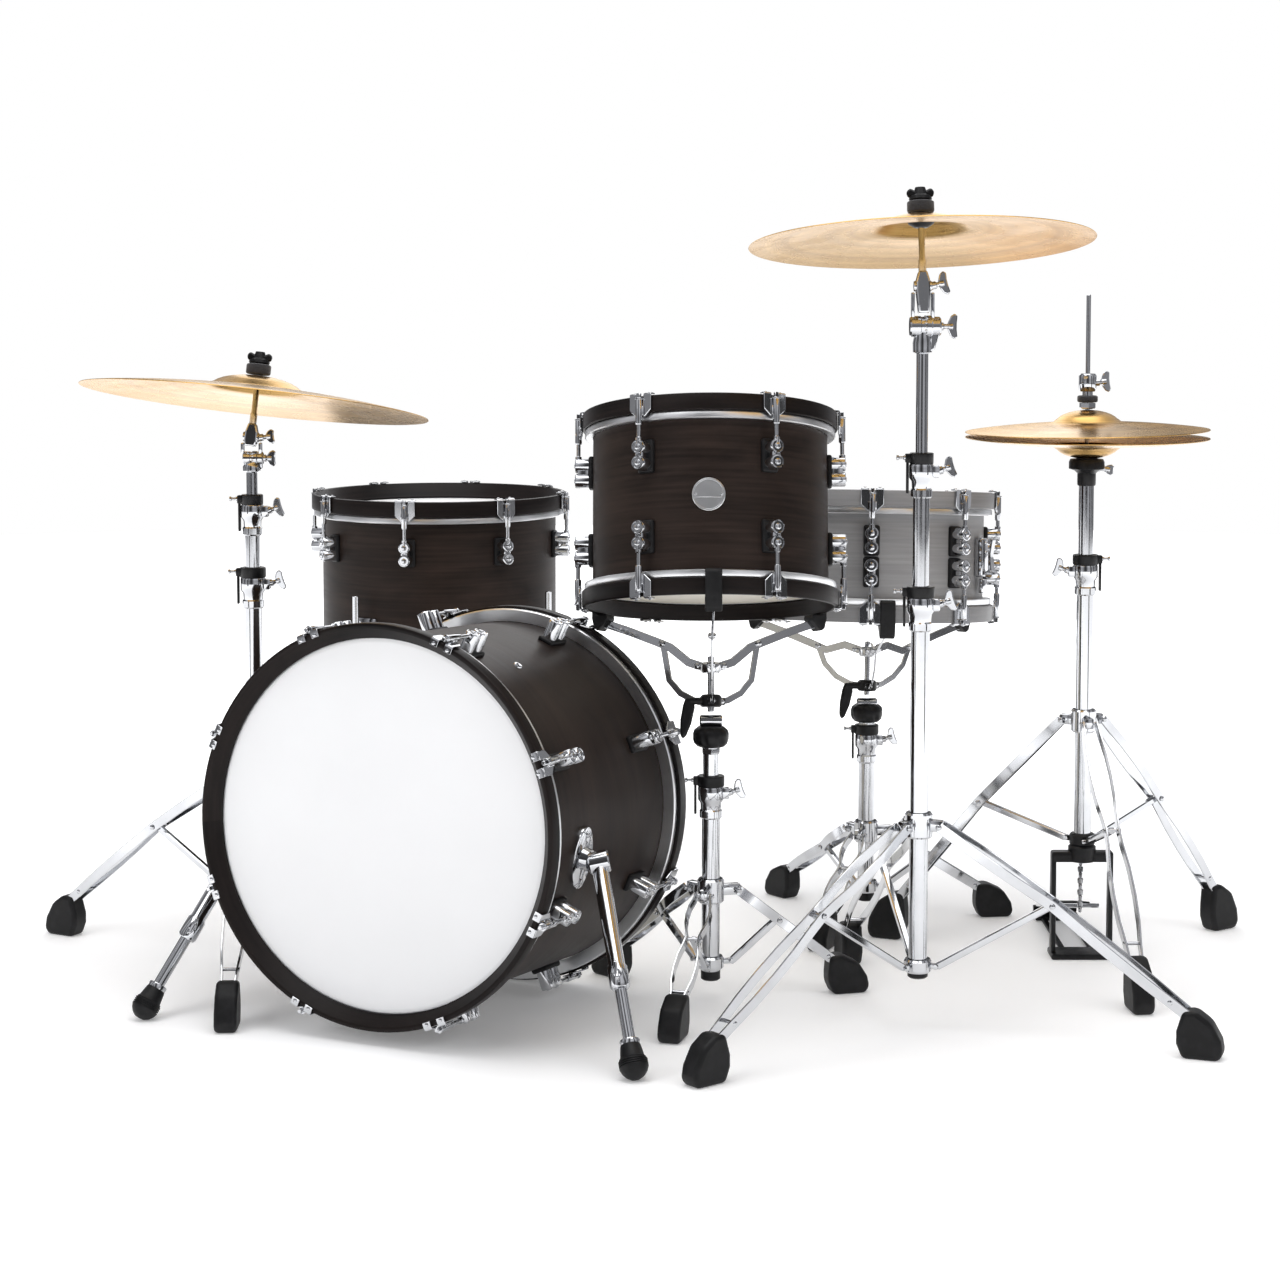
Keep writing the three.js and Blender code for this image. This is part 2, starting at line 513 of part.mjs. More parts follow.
// ---------- hi-hat ----------
function addHiHat() {
  const tripod = TRIPODS.hihat
  const group = standGroup('hihat')
  addTripod(group, 'hihat', tripod, PLAN.hihat.turn)
  const { half, deep, post, bridge, base } = HIHAT_FRAME
  const column = outerTube(BASE_TUBE_R, HIHAT.tubeBottom - bridge.overlap, HIHAT.baseTop, MID_TUBE_R,
    HIHAT.baseTop - HIHAT.tubeBottom - PLUG)
  const bore = disc(STEM_R + ROD_CLEARANCE, HIHAT.tubeBottom - 2 * bridge.height, HIHAT.baseTop)
  const bridgeTop = HIHAT.tubeBottom - bridge.below
  const frame = [
    column, box(-half, half, -deep, deep, bridgeTop - bridge.height, bridgeTop),
    box(-half, -half + post, -deep, deep, base.height / 2, bridgeTop - bridge.height / 2),
    box(half - post, half, -deep, deep, base.height / 2, bridgeTop - bridge.height / 2),
    box(-half, half, -base.ahead, base.behind, 0, base.height),
  ]
  place(group, 'hihat_frame', cut(joined(frame), bore), CHROME)

  const seat = HIHAT.bottomRim - HIHAT.bow - HIHAT.bell - CYMBAL.thickness - GAP
  const boreR = STEM_R + TUBE_CLEARANCE
  const tube = turned([
    [boreR, HIHAT.baseTop - ENGAGED], [MID_TUBE_R, HIHAT.baseTop - ENGAGED],
    [MID_TUBE_R, HIHAT.tubeTop - HIHAT.seatFlare], [HIHAT.seatR, HIHAT.tubeTop],
    [HIHAT.seatR, seat], [boreR, seat],
  ])
  place(group, 'hihat_upper_tube', tube, CHROME)
  place(group, 'hihat_pull_rod', disc(PULL_ROD_R, HIHAT.rodBottom, HIHAT.rodTop), CHROME)

  const under = cymbalSolid(HIHAT.radius, HIHAT.bow, HIHAT.bell).rotateX(Math.PI)
  place(groupAt(group, 0, 0, HIHAT.bottomRim), 'hihat_cymbal_bottom', under, BRONZE)
  const top = leaning(group, 0, 0, HIHAT.topRim, 0, HIHAT.roll)
  place(top, 'hihat_cymbal_top', cymbalSolid(HIHAT.radius, HIHAT.bow, HIHAT.bell), BRONZE)
  const bellTop = HIHAT.topRim + HIHAT.bow + HIHAT.bell + CYMBAL.thickness + CLUTCH_CLEARANCE
  const { radius, height, bevel, sleeveR, sleeve } = HIHAT.clutch
  const clutch = turned([
    [STEM_R, bellTop], [radius, bellTop], [radius, bellTop + height], [sleeveR, bellTop + height + bevel],
    [sleeveR, bellTop + sleeve], [STEM_R, bellTop + sleeve],
  ])
  place(group, 'hihat_clutch', clutch, CHROME)

  const heel = vec(0, FOOTBOARD.heel, FOOTBOARD.heelHeight)
  const toe = vec(0, FOOTBOARD.toe, FOOTBOARD.toeHeight)
  const plate = bar(heel, toe, FOOTBOARD.width, FOOTBOARD.thickness)
  place(group, 'hihat_footboard', plate, CHROME)
}

// ---------- the kit ----------
addBassDrum()
addSpurs()
addFloorTom()
addDrum(addDrumStand('tom', TOM, 2 * hoopR(BASS) - TOM_BELOW_BASS_TOP), 'tom', TOM, ['bottom', 'top'], DARK)
const snareGroup = addDrumStand('snare', SNARE, SNARE_PIVOT)
addDrum(snareGroup, 'snare', SNARE, ['bottom', 'top'], GREY)
addThrowLever(snareGroup)
addHiHat()
addCymbalStand('crash')
addCymbalStand('ride')

// The origin lies under the middle of the kit.
kit.updateMatrixWorld(true)
const middle = new THREE.Box3().setFromObject(kit, true).getCenter(new THREE.Vector3())
kit.position.set(-middle.x, -middle.y, 0)

export default kit
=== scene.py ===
"""Acoustic drum kit: the finished look of each drum, stand and cymbal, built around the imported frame.
"""

import json
import logging
import math
from dataclasses import dataclass, field
from enum import Enum

import bpy
import numpy as np
from mathutils import Matrix, Vector

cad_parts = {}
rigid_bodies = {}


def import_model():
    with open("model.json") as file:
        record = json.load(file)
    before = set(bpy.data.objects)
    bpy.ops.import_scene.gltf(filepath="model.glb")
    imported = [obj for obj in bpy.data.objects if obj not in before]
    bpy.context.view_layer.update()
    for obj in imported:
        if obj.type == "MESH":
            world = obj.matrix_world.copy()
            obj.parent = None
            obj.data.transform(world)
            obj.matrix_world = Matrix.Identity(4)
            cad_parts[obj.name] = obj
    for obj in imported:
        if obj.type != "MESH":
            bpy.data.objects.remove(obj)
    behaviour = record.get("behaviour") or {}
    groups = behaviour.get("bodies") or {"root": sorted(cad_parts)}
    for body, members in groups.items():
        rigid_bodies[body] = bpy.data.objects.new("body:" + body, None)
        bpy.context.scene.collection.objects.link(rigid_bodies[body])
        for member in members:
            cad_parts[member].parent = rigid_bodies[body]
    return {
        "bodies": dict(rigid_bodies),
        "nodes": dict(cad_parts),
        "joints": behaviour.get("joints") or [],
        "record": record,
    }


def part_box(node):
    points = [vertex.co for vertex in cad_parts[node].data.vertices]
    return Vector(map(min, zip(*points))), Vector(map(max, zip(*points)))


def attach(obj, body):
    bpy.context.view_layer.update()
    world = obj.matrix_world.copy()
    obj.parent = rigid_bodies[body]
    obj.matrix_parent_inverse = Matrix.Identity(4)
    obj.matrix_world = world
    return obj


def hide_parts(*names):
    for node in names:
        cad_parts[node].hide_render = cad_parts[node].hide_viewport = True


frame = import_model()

log = logging.getLogger("drum_kit")

# Lengths are in millimetres and angles in degrees.
MM = Matrix.Scale(0.001, 4)
POLE = 2e-4
GAP = 0.35
FLOOR_GAP = 0.15
BASE_TUBE_R = 12.7
MIDDLE_TUBE_R = 11.0
CLAMP_OVER_TUBE = 16
TUBE_OVERLAP = 150
LEG_STEP = 120
BASKET_TURNS = (270, 30, 150)
RATCHET_TEETH = 16
THREAD_PITCH = 1.5
WIRES = 20
WIRE_PITCH = 2.1
CHAIN_LINKS = 9
LINK_PITCH = 8.6
Path = list[tuple[float, float]]


class Slot(Enum):
    """The record's material slots."""

    WALNUT = "walnut_stain"
    BLACK = "black_stain"
    GREY = "grey_stain"
    WHITE_HEAD = "white_head"
    COATED_HEAD = "coated_head"
    CLEAR_HEAD = "clear_head"
    BRONZE = "bronze"
    CHROME = "chrome"
    FLESH = "flesh_hoop"
    RUBBER = "rubber"
    PLASTIC = "black_plastic"
    FELT = "felt"


class Wrap(Enum):
    """How a turned shape is unwrapped: along its side, or out from its middle."""

    SIDE = "side"
    FACE = "face"


# ---------- finishes ----------
class Recipe:
    """A node tree for one material, with short calls for its nodes."""

    def __init__(self, name: str) -> None:
        """Starts an empty material with a Principled shader.

        Args:
            name: the material's name.
        """
        self.material = bpy.data.materials.new(name)
        self.material.use_nodes = True
        self.tree = self.material.node_tree
        self.shader = self.tree.nodes["Principled BSDF"]

    def node(self, kind: str, **values: object) -> bpy.types.Node:
        """Adds a node and sets its named properties or inputs.

        Args:
            kind: the node's type name after ShaderNode.
            values: properties, or inputs with spaces written as underscores.

        Returns:
            The new node.
        """
        made = self.tree.nodes.new("ShaderNode" + kind)
        for key, value in values.items():
            if hasattr(made, key):
                setattr(made, key, value)
            else:
                made.inputs[key.replace("_", " ")].default_value = value
        return made

    def link(self, out: bpy.types.NodeSocket, into: bpy.types.NodeSocket) -> None:
        """Joins two sockets."""
        self.tree.links.new(out, into)

    def mapped(self, coordinate: str, scale: tuple[float, float, float]) -> bpy.types.NodeSocket:
        """Coordinates of the piece, scaled.

        Args:
            coordinate: Object or UV.
            scale: the scale along each axis.

        Returns:
            The socket with the scaled vector.
        """
        source = self.node("TexCoord")
        mapping = self.node("Mapping", Scale=scale)
        self.link(source.outputs[coordinate], mapping.inputs["Vector"])
        return mapping.outputs["Vector"]

    def noise(
        self, vector: bpy.types.NodeSocket, scale: float, detail: float = 3.0
    ) -> bpy.types.NodeSocket:
        """Noise over a vector.

        Args:
            vector: where the noise is read.
            scale: the noise's scale.
            detail: how many octaves it has.

        Returns:
            The socket with the noise's height, from 0 to 1.
        """
        made = self.node("TexNoise", Scale=scale, Detail=detail)
        self.link(vector, made.inputs["Vector"])
        return made.outputs["Fac"]

    def ramp(
        self, factor: bpy.types.NodeSocket, *stops: tuple[float, tuple[float, float, float]]
    ) -> bpy.types.NodeSocket:
        """A colour ramp.

        Args:
            factor: what drives the ramp.
            stops: a place and a colour for each stop.

        Returns:
            The socket with the colour.
        """
        made = self.node("ValToRGB")
        bar = made.color_ramp.elements
        while len(bar) < len(stops):
            bar.new(0.5)
        for element, (place, colour) in zip(bar, stops):
            element.position = place
            element.color = (*colour, 1)
        self.link(factor, made.inputs["Fac"])
        return made.outputs["Color"]

    def spread(self, factor: bpy.types.NodeSocket, low: float, high: float) -> bpy.types.NodeSocket:
        """Maps 0..1 onto a range.

        Args:
            factor: the value to map.
            low: what 0 becomes.
            high: what 1 becomes.

        Returns:
            The socket with the mapped value.
        """
        made = self.node("MapRange", To_Min=low, To_Max=high)
        self.link(factor, made.inputs["Value"])
        return made.outputs["Result"]

    def bump(self, height: bpy.types.NodeSocket, strength: float, distance: float) -> None:
        """Presses a height into the surface.

        Args:
            height: the height, from 0 to 1.
            strength: how strongly it shows.
            distance: the depth in metres.
        """
        made = self.node("Bump", Strength=strength, Distance=distance)
        self.link(height, made.inputs["Height"])
        self.link(made.outputs["Normal"], self.shader.inputs["Normal"])

    def set(self, **values: object) -> None:
        """Sets the shader's own sockets; spaces are written as underscores."""
        for key, value in values.items():
            self.shader.inputs[key.replace("_", " ")].default_value = value


@dataclass(frozen=True)
class Finish:
    """A finish that pieces share; its material is made once."""

    name: str
    slot: Slot

    def material(self) -> bpy.types.Material:
        """The finish's material, made at its first use."""
        found = bpy.data.materials.get(f"{self.name}_finish")
        if found is None:
            recipe = Recipe(f"{self.name}_finish")
            self.mix(recipe)
            found = recipe.material
        return found

    def mix(self, recipe: Recipe) -> None:
        """Builds the nodes of the finish.

        Args:
            recipe: the material that takes them.
        """
        raise NotImplementedError


@dataclass(frozen=True)
class StainedWood(Finish):
    """Satin stain over open-grained veneer; the grain runs round the drum."""

    deep: tuple[float, float, float]
    pale: tuple[float, float, float]
    gloss: float = 0.42

    def mix(self, recipe: Recipe) -> None:
        """Figure, fine grain and pores on the unwrapped side."""
        figure_at = recipe.mapped("UV", (2.2, 9.0, 1.0))
        warp = recipe.node("TexNoise", Scale=1.4, Detail=4.0, Distortion=1.6)
        recipe.link(figure_at, warp.inputs["Vector"])
        grain = recipe.noise(recipe.mapped("UV", (6.0, 210.0, 1.0)), scale=1.0, detail=5.0)
        pores = recipe.noise(recipe.mapped("UV", (30.0, 900.0, 1.0)), scale=1.0, detail=2.0)
        both = recipe.node("Math", operation="MULTIPLY_ADD")
        both.inputs[1].default_value = 0.45
        recipe.link(grain, both.inputs[0])
        recipe.link(recipe.spread(warp.outputs["Fac"], low=0.0, high=0.62), both.inputs[2])
        colour = recipe.ramp(both.outputs["Value"], (0.36, self.deep), (0.72, self.pale))
        recipe.link(colour, recipe.shader.inputs["Base Color"])
        recipe.link(
            recipe.spread(grain, low=self.gloss - 0.07, high=self.gloss + 0.1),
            recipe.shader.inputs["Roughness"],
        )
        recipe.bump(pores, strength=0.25, distance=0.0003)
        recipe.set(Specular_IOR_Level=0.13)


@dataclass(frozen=True)
class Metal(Finish):
    """Plated or brushed metal with faint wear in its polish."""

    colour: tuple[float, float, float]
    smooth: float
    dull: float

    def mix(self, recipe: Recipe) -> None:
        """Uneven polish, and a tint that shifts a little."""
        place = recipe.mapped("Object", (1.0, 1.0, 1.0))
        cloud = recipe.noise(place, scale=28.0, detail=4.0)
        darker = tuple(c * 0.9 for c in self.colour)
        recipe.link(
            recipe.ramp(cloud, (0.3, darker), (0.7, self.colour)), recipe.shader.inputs["Base Color"]
        )
        recipe.link(
            recipe.spread(cloud, low=self.smooth, high=self.dull), recipe.shader.inputs["Roughness"]
        )
        recipe.set(Metallic=1.0)


@dataclass(frozen=True)
class Lathed(Finish):
    """Cymbal bronze, with grooves turned round its face and a hammered sheen."""

    deep: tuple[float, float, float]
    pale: tuple[float, float, float]

    def mix(self, recipe: Recipe) -> None:
        """Grooves by radius; the radius is the unwrapped height."""
        fine = recipe.noise(recipe.mapped("UV", (0.0, 520.0, 1.0)), scale=1.0, detail=2.0)
        broad = recipe.noise(recipe.mapped("UV", (0.0, 46.0, 1.0)), scale=1.0, detail=3.0)
        hammer = recipe.noise(recipe.mapped("Object", (1.0, 1.0, 1.0)), scale=22.0, detail=2.0)
        mixed = recipe.node("Math", operation="MULTIPLY_ADD")
        mixed.inputs[1].default_value = 0.5
        recipe.link(fine, mixed.inputs[0])
        recipe.link(recipe.spread(broad, low=0.0, high=0.5), mixed.inputs[2])
        recipe.link(
            recipe.ramp(mixed.outputs["Value"], (0.3, self.deep), (0.7, self.pale)),
            recipe.shader.inputs["Base Color"],
        )
        recipe.link(recipe.spread(hammer, low=0.2, high=0.34), recipe.shader.inputs["Roughness"])
        recipe.bump(fine, strength=0.14, distance=0.0004)
        tangent = recipe.node("Tangent", direction_type="UV_MAP")
        recipe.link(tangent.outputs["Tangent"], recipe.shader.inputs["Tangent"])
        recipe.set(Metallic=1.0, Anisotropic=0.65)


@dataclass(frozen=True)
class Film(Finish):
    """Drum-head film, smooth or coated."""

    colour: tuple[float, float, float]
    grit: float

    def mix(self, recipe: Recipe) -> None:
        """A faint cloudiness, and the grit of a coating."""
        place = recipe.mapped("Object", (1.0, 1.0, 1.0))
        cloud = recipe.noise(place, scale=5.0, detail=3.0)
        paler = tuple(min(c * 1.04, 1.0) for c in self.colour)
        recipe.link(
            recipe.ramp(cloud, (0.3, self.colour), (0.7, paler)), recipe.shader.inputs["Base Color"]
        )
        recipe.link(
            recipe.spread(cloud, low=0.3 + self.grit, high=0.42 + self.grit),
            recipe.shader.inputs["Roughness"],
        )
        recipe.bump(
            recipe.noise(place, scale=1400.0, detail=2.0), strength=0.1 + self.grit, distance=0.0002
        )
        recipe.set(Specular_IOR_Level=0.4)


@dataclass(frozen=True)
class Moulded(Finish):
    """Black moulded rubber or plastic."""

    colour: tuple[float, float, float]
    rough: float

    def mix(self, recipe: Recipe) -> None:
        """A fine moulded texture with scuffs that catch the light."""
        place = recipe.mapped("Object", (1.0, 1.0, 1.0))
        scuff = recipe.noise(place, scale=60.0, detail=5.0)
        paler = tuple(c * 2.1 + 0.004 for c in self.colour)
        recipe.link(
            recipe.ramp(scuff, (0.42, self.colour), (0.8, paler)), recipe.shader.inputs["Base Color"]
        )
        recipe.link(
            recipe.spread(scuff, low=self.rough - 0.1, high=self.rough + 0.12),
            recipe.shader.inputs["Roughness"],
        )
        recipe.bump(recipe.noise(place, scale=900.0, detail=2.0), strength=0.3, distance=0.0003)
        recipe.set(Specular_IOR_Level=0.28)


@dataclass(frozen=True)
class FeltCloth(Finish):
    """Dense dark felt."""

    colour: tuple[float, float, float]

    def mix(self, recipe: Recipe) -> None:
        """Fibres in the colour and in the height."""
        place = recipe.mapped("Object", (1.0, 1.0, 1.0))
        fibre = recipe.noise(place, scale=700.0, detail=4.0)
        paler = tuple(c * 2.4 for c in self.colour)
        recipe.link(
            recipe.ramp(fibre, (0.3, self.colour), (0.75, paler)), recipe.shader.inputs["Base Color"]
        )
        recipe.bump(fibre, strength=0.7, distance=0.0008)
        recipe.set(Roughness=0.95, Sheen_Weight=0.3)


WALNUT = StainedWood(
    "walnut_stain", Slot.WALNUT, deep=(0.0095, 0.0066, 0.0056), pale=(0.032, 0.0216, 0.0176)
)
EBONY = StainedWood(
    "ebony_stain", Slot.BLACK, deep=(0.0035, 0.003, 0.0031), pale=(0.015, 0.0108, 0.0098), gloss=0.36
)
GREY_WOOD = StainedWood(
    "grey_stain", Slot.GREY, deep=(0.23, 0.23, 0.235), pale=(0.34, 0.34, 0.345), gloss=0.4
)
GREY_HOOP = StainedWood(
    "grey_hoop_stain", Slot.GREY, deep=(0.2, 0.2, 0.205), pale=(0.29, 0.29, 0.295), gloss=0.36
)
CHROME = Metal("chrome_plate", Slot.CHROME, colour=(0.6, 0.61, 0.63), smooth=0.05, dull=0.11)
SATIN = Metal("satin_flesh_hoop", Slot.FLESH, colour=(0.86, 0.87, 0.88), smooth=0.3, dull=0.35)
BRONZE = Lathed("lathed_bronze", Slot.BRONZE, deep=(0.37, 0.205, 0.056), pale=(0.68, 0.43, 0.15))
WHITE_FILM = Film("white_film", Slot.WHITE_HEAD, colour=(0.79, 0.793, 0.8), grit=0.0)
COATED_FILM = Film("coated_film", Slot.COATED_HEAD, colour=(0.8, 0.8, 0.79), grit=0.2)
CLEAR_FILM = Film("cream_film", Slot.CLEAR_HEAD, colour=(0.78, 0.74, 0.65), grit=0.05)
RUBBER = Moulded("black_rubber", Slot.RUBBER, colour=(0.0045, 0.0045, 0.005), rough=0.5)
PLASTIC = Moulded("black_plastic", Slot.PLASTIC, colour=(0.0035, 0.0035, 0.004), rough=0.36)
FELT = FeltCloth("dark_felt", Slot.FELT, colour=(0.018, 0.018, 0.02))


# ---------- the bench ----------
def fresh() -> None:
    """Leaves edit mode and deselects everything."""
    if bpy.context.object and bpy.context.object.mode != "OBJECT":
        bpy.ops.object.mode_set(mode="OBJECT")
    bpy.ops.object.select_all(action="DESELECT")


def open_shape(name: str) -> bpy.types.Object:
    """Names the primitive just added, and opens all of it in edit mode."""
    shape = bpy.context.object
    shape.name = name
    bpy.ops.object.mode_set(mode="EDIT")
    bpy.ops.mesh.select_all(action="SELECT")
    return shape


def close_shape(angle: float = 38.0) -> None:
    """Merges doubles, turns the faces outwards and shades by angle.

    Args:
        angle: edges sharper than this, in degrees, stay crisp.
    """
    bpy.ops.mesh.select_all(action="SELECT")
    bpy.ops.mesh.remove_doubles(threshold=0.001)
    bpy.ops.mesh.normals_make_consistent(inside=False)
    bpy.ops.object.mode_set(mode="OBJECT")
    bpy.ops.object.shade_smooth_by_angle(angle=math.radians(angle))


def turn_selection(degrees: float, axis: str, centre: tuple[float, float, float]) -> None:
    """Turns what is selected by the right-hand rule.

    Args:
        degrees: the turn.
        axis: X, Y or Z.
        centre: a point on the axis.
    """
    bpy.ops.transform.rotate(value=-math.radians(degrees), orient_axis=axis, center_override=centre)


def turned(name: str, outline: Path, sides: int = 32) -> bpy.types.Object:
    """Turns an outline about Z, ring by ring.

    Args:
        name: the shape's name.
        outline: radius and height of each ring; it closes on itself unless it starts on the axis.
        sides: how many sides a ring has.

    Returns:
        The turned shape.
    """
    fresh()
    rings = [(max(r, POLE), z) for r, z in outline]
    if outline[0][0] > 0:
        rings.append(rings[0])
    radius, height = rings[0]
    bpy.ops.mesh.primitive_circle_add(vertices=sides, radius=radius)
    shape = open_shape(name)
    bpy.ops.transform.translate(value=(0, 0, height))
    for next_radius, next_height in rings[1:]:
        bpy.ops.mesh.extrude_region_move(TRANSFORM_OT_translate={"value": (0, 0, next_height - height)})
        if next_radius != radius:
            grow = next_radius / radius
            bpy.ops.transform.resize(value=(grow, grow, 1), center_override=(0, 0, next_height))
        radius, height = next_radius, next_height
    close_shape()
    return shape


def pipe(
    name: str, outer: float, inner: float, low: float, high: float, sides: int = 32
) -> bpy.types.Object:
    """A tube with eased rims, open at both ends."""
    ease = min(0.8, (outer - inner) / 3)
    outline = [
        (inner, low), (outer - ease, low), (outer, low + ease), (outer, high - ease),
        (outer - ease, high), (inner, high),
    ]
    return turned(name, outline, sides=sides)


def bar(
    name: str, radius: float, low: float, high: float, sides: int = 24, ease: float = 0.8
) -> bpy.types.Object:
    """A round bar with eased ends."""
    outline = [
        (0, low), (radius - ease, low), (radius, low + ease), (radius, high - ease),
        (radius - ease, high), (0, high),
    ]
    return turned(name, outline, sides=sides)


def strip(
    name: str, path: Path, thick: float, wide: float, shifts: list[float] | None = None
) -> bpy.types.Object:
    """Extrudes a flat bar along a path in the XZ plane.

    Args:
        name: the shape's name.
        path: x and z of each station.
        thick: the bar's size along Y.
        wide: its size across the path, in the plane.
        shifts: how far each station is moved along Y.

    Returns:
        The bar, with eased edges.
    """
    fresh()
    shifts = shifts or [0.0] * len(path)
    runs = []
    for i in range(len(path)):
        before, after = path[max(i - 1, 0)], path[min(i + 1, len(path) - 1)]
        runs.append(math.degrees(math.atan2(after[1] - before[1], after[0] - before[0])))
    bpy.ops.mesh.primitive_plane_add(size=1)
    shape = open_shape(name)
    bpy.ops.transform.resize(value=(wide, thick, 1), center_override=(0, 0, 0))
    turn_selection(90.0 - runs[0], "Y", (0, 0, 0))
    bpy.ops.transform.translate(value=(path[0][0], shifts[0], path[0][1]))
    for i in range(1, len(path)):
        move = (path[i][0] - path[i - 1][0], shifts[i] - shifts[i - 1], path[i][1] - path[i - 1][1])
        bpy.ops.mesh.extrude_region_move(TRANSFORM_OT_translate={"value": move})
        turn = (runs[i - 1] - runs[i] + 180.0) % 360.0 - 180.0
        if abs(turn) > 0.01:
            turn_selection(turn, "Y", (path[i][0], shifts[i], path[i][1]))
    close_shape()
    ease_edges(shape, width=min(thick, wide) * 0.18, segments=1)
    return shape


def ease_edges(shape: bpy.types.Object, width: float, segments: int = 2, angle: float = 40.0) -> None:
    """Rounds the edges sharper than an angle, by an applied Bevel."""
    fresh()
    bpy.context.view_layer.objects.active = shape
    shape.select_set(True)
    bevel = shape.modifiers.new("ease", "BEVEL")
    bevel.width = width
    bevel.segments = segments
    bevel.limit_method = "ANGLE"
    bevel.angle_limit = math.radians(angle)
    bpy.ops.object.modifier_apply(modifier=bevel.name)
    bpy.ops.object.shade_smooth_by_angle(angle=math.radians(34))


def block(
    name: str,
    size: tuple[float, float, float],
    at: tuple[float, float, float] = (0, 0, 0),
    ease: float = 1.0,
    segments: int = 2,
) -> bpy.types.Object:
    """A block with rounded edges.

    Args:
        name: the shape's name.
        size: its length along each axis.
        at: its middle.
        ease: the radius of its edges.
        segments: faces across a rounded edge.

    Returns:
        The block.
    """
    fresh()
    bpy.ops.mesh.primitive_cube_add(size=1)
    shape = open_shape(name)
    bpy.ops.transform.resize(value=size, center_override=(0, 0, 0))
    bpy.ops.transform.translate(value=at)
    bpy.ops.mesh.bevel(offset=ease, segments=segments, affect="EDGES")
    close_shape()
    return shape


def slab(
    name: str, corners: Path, depth: float, ease: float = 1.0, segments: int = 2
) -> bpy.types.Object:
    """Extrudes a cornered outline in the XZ plane to both sides of it.

    Args:
        name: the shape's name.
        corners: x and z of each corner, in order round the outline.
        depth: its whole size along Y.
        ease: the radius of its edges.
        segments: faces across a rounded edge.

    Returns:
        The slab.
    """
    fresh()
    bpy.ops.mesh.primitive_circle_add(vertices=len(corners), radius=1, fill_type="NGON")
    shape = bpy.context.object
    for vertex, (x, z) in zip(shape.data.vertices, corners):
        vertex.co = (x, -depth / 2, z)
    open_shape(name)
    bpy.ops.mesh.extrude_region_move(TRANSFORM_OT_translate={"value": (0, depth, 0)})
    close_shape()
    if ease:
        ease_edges(shape, width=ease, segments=segments, angle=25.0)
    return shape


def moved(shape: bpy.types.Object, matrix: Matrix) -> bpy.types.Object:
    """Moves a shape's own mesh."""
    shape.data.transform(matrix)
    return shape


def spun(degrees: float, axis: str = "Z") -> Matrix:
    """A turn about an axis through the origin."""
    return Matrix.Rotation(math.radians(degrees), 4, axis)


def shift(x: float = 0.0, y: float = 0.0, z: float = 0.0) -> Matrix:
    """A move."""
    return Matrix.Translation((x, y, z))


def again(shape: bpy.types.Object, matrix: Matrix) -> bpy.types.Object:
    """A copy of a shape with its own mesh, moved."""
    made = shape.copy()
    made.data = shape.data.copy()
    bpy.context.scene.collection.objects.link(made)
    return moved(made, matrix)


def welded(name: str, *shapes: bpy.types.Object) -> bpy.types.Object:
    """Joins shapes into one piece."""
    fresh()
    for shape in shapes:
        shape.select_set(True)
    bpy.context.view_layer.objects.active = shapes[0]
    if len(shapes) > 1:
        bpy.ops.object.join()
    shapes[0].name = name
    return shapes[0]


def unwrap(shape: bpy.types.Object, wrap: Wrap) -> bpy.types.Object:
    """Gives a turned shape a UV map in metres, before it is placed.

    Args:
        shape: a shape round Z, in millimetres.
        wrap: along the side, or out from the middle.

    Returns:
        The same shape.
    """
    mesh = shape.data
    while mesh.uv_layers:
        mesh.uv_layers.remove(mesh.uv_layers[0])
    layer = mesh.uv_layers.new(name="turned")
    for face in mesh.polygons:
        angles = [math.atan2(mesh.vertices[v].co.y, mesh.vertices[v].co.x) for v in face.vertices]
        if max(angles) - min(angles) > math.pi:
            angles = [a + math.tau if a < 0 else a for a in angles]
        for loop, vertex, angle in zip(face.loop_indices, face.vertices, angles):
            x, y, z = mesh.vertices[vertex].co
            radius = math.hypot(x, y)
            if wrap is Wrap.SIDE:
                layer.data[loop].uv = (angle * radius / 1000, (z - radius * 0.3) / 1000)
            else:
                layer.data[loop].uv = (angle / math.tau, radius / 1000)
    return shape


@dataclass
class Pattern:
    """A shape modelled once in millimetres, and stamped wherever it repeats."""

    shape: bpy.types.Object
    finish: Finish

    def stamp(self, name: str, frame: Matrix, body: str, *stands_for: str) -> bpy.types.Object:
        """Args:
            name: the piece's name.
            body: the body that the piece rides on.
            stands_for: the CAD nodes that it replaces.

        Returns:
            The new piece.
        """
        piece = again(self.shape, frame)
        piece.name = name
        piece.data.name = name
        piece.data.materials.clear()
        piece.data.materials.append(self.finish.material())
        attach(piece, body)
        if stands_for:
            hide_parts(*stands_for)
        return piece

    def discard(self) -> None:
        """Takes the bench's own copy away."""
        bpy.data.objects.remove(self.shape, do_unlink=True)


def fit(
    shape: bpy.types.Object, finish: Finish, name: str, frame: Matrix, body: str, *stands_for: str
) -> None:
    """Stamps a shape that is used once."""
    pattern = Pattern(shape, finish)
    pattern.stamp(name, frame, body, *stands_for)
    pattern.discard()


# ---------- places ----------
def middle(node: str) -> Vector:
    """The mean of a CAD node's corners, which lies on its axis if it is round."""
    corners = {tuple(round(c, 6) for c in v.co) for v in bpy.data.objects[node].data.vertices}
    return sum((Vector(c) for c in corners), Vector()) / len(corners)


def frame_at(origin: Vector, axis: Vector, across: Vector) -> Matrix:
    """A millimetre frame whose Z is an axis and whose X lies nearest to a direction."""
    z = axis.normalized()
    x = (across - z * across.dot(z)).normalized()
    y = z.cross(x)
    turn = Matrix((x, y, z)).transposed().to_4x4()
    return Matrix.Translation(origin) @ turn @ MM


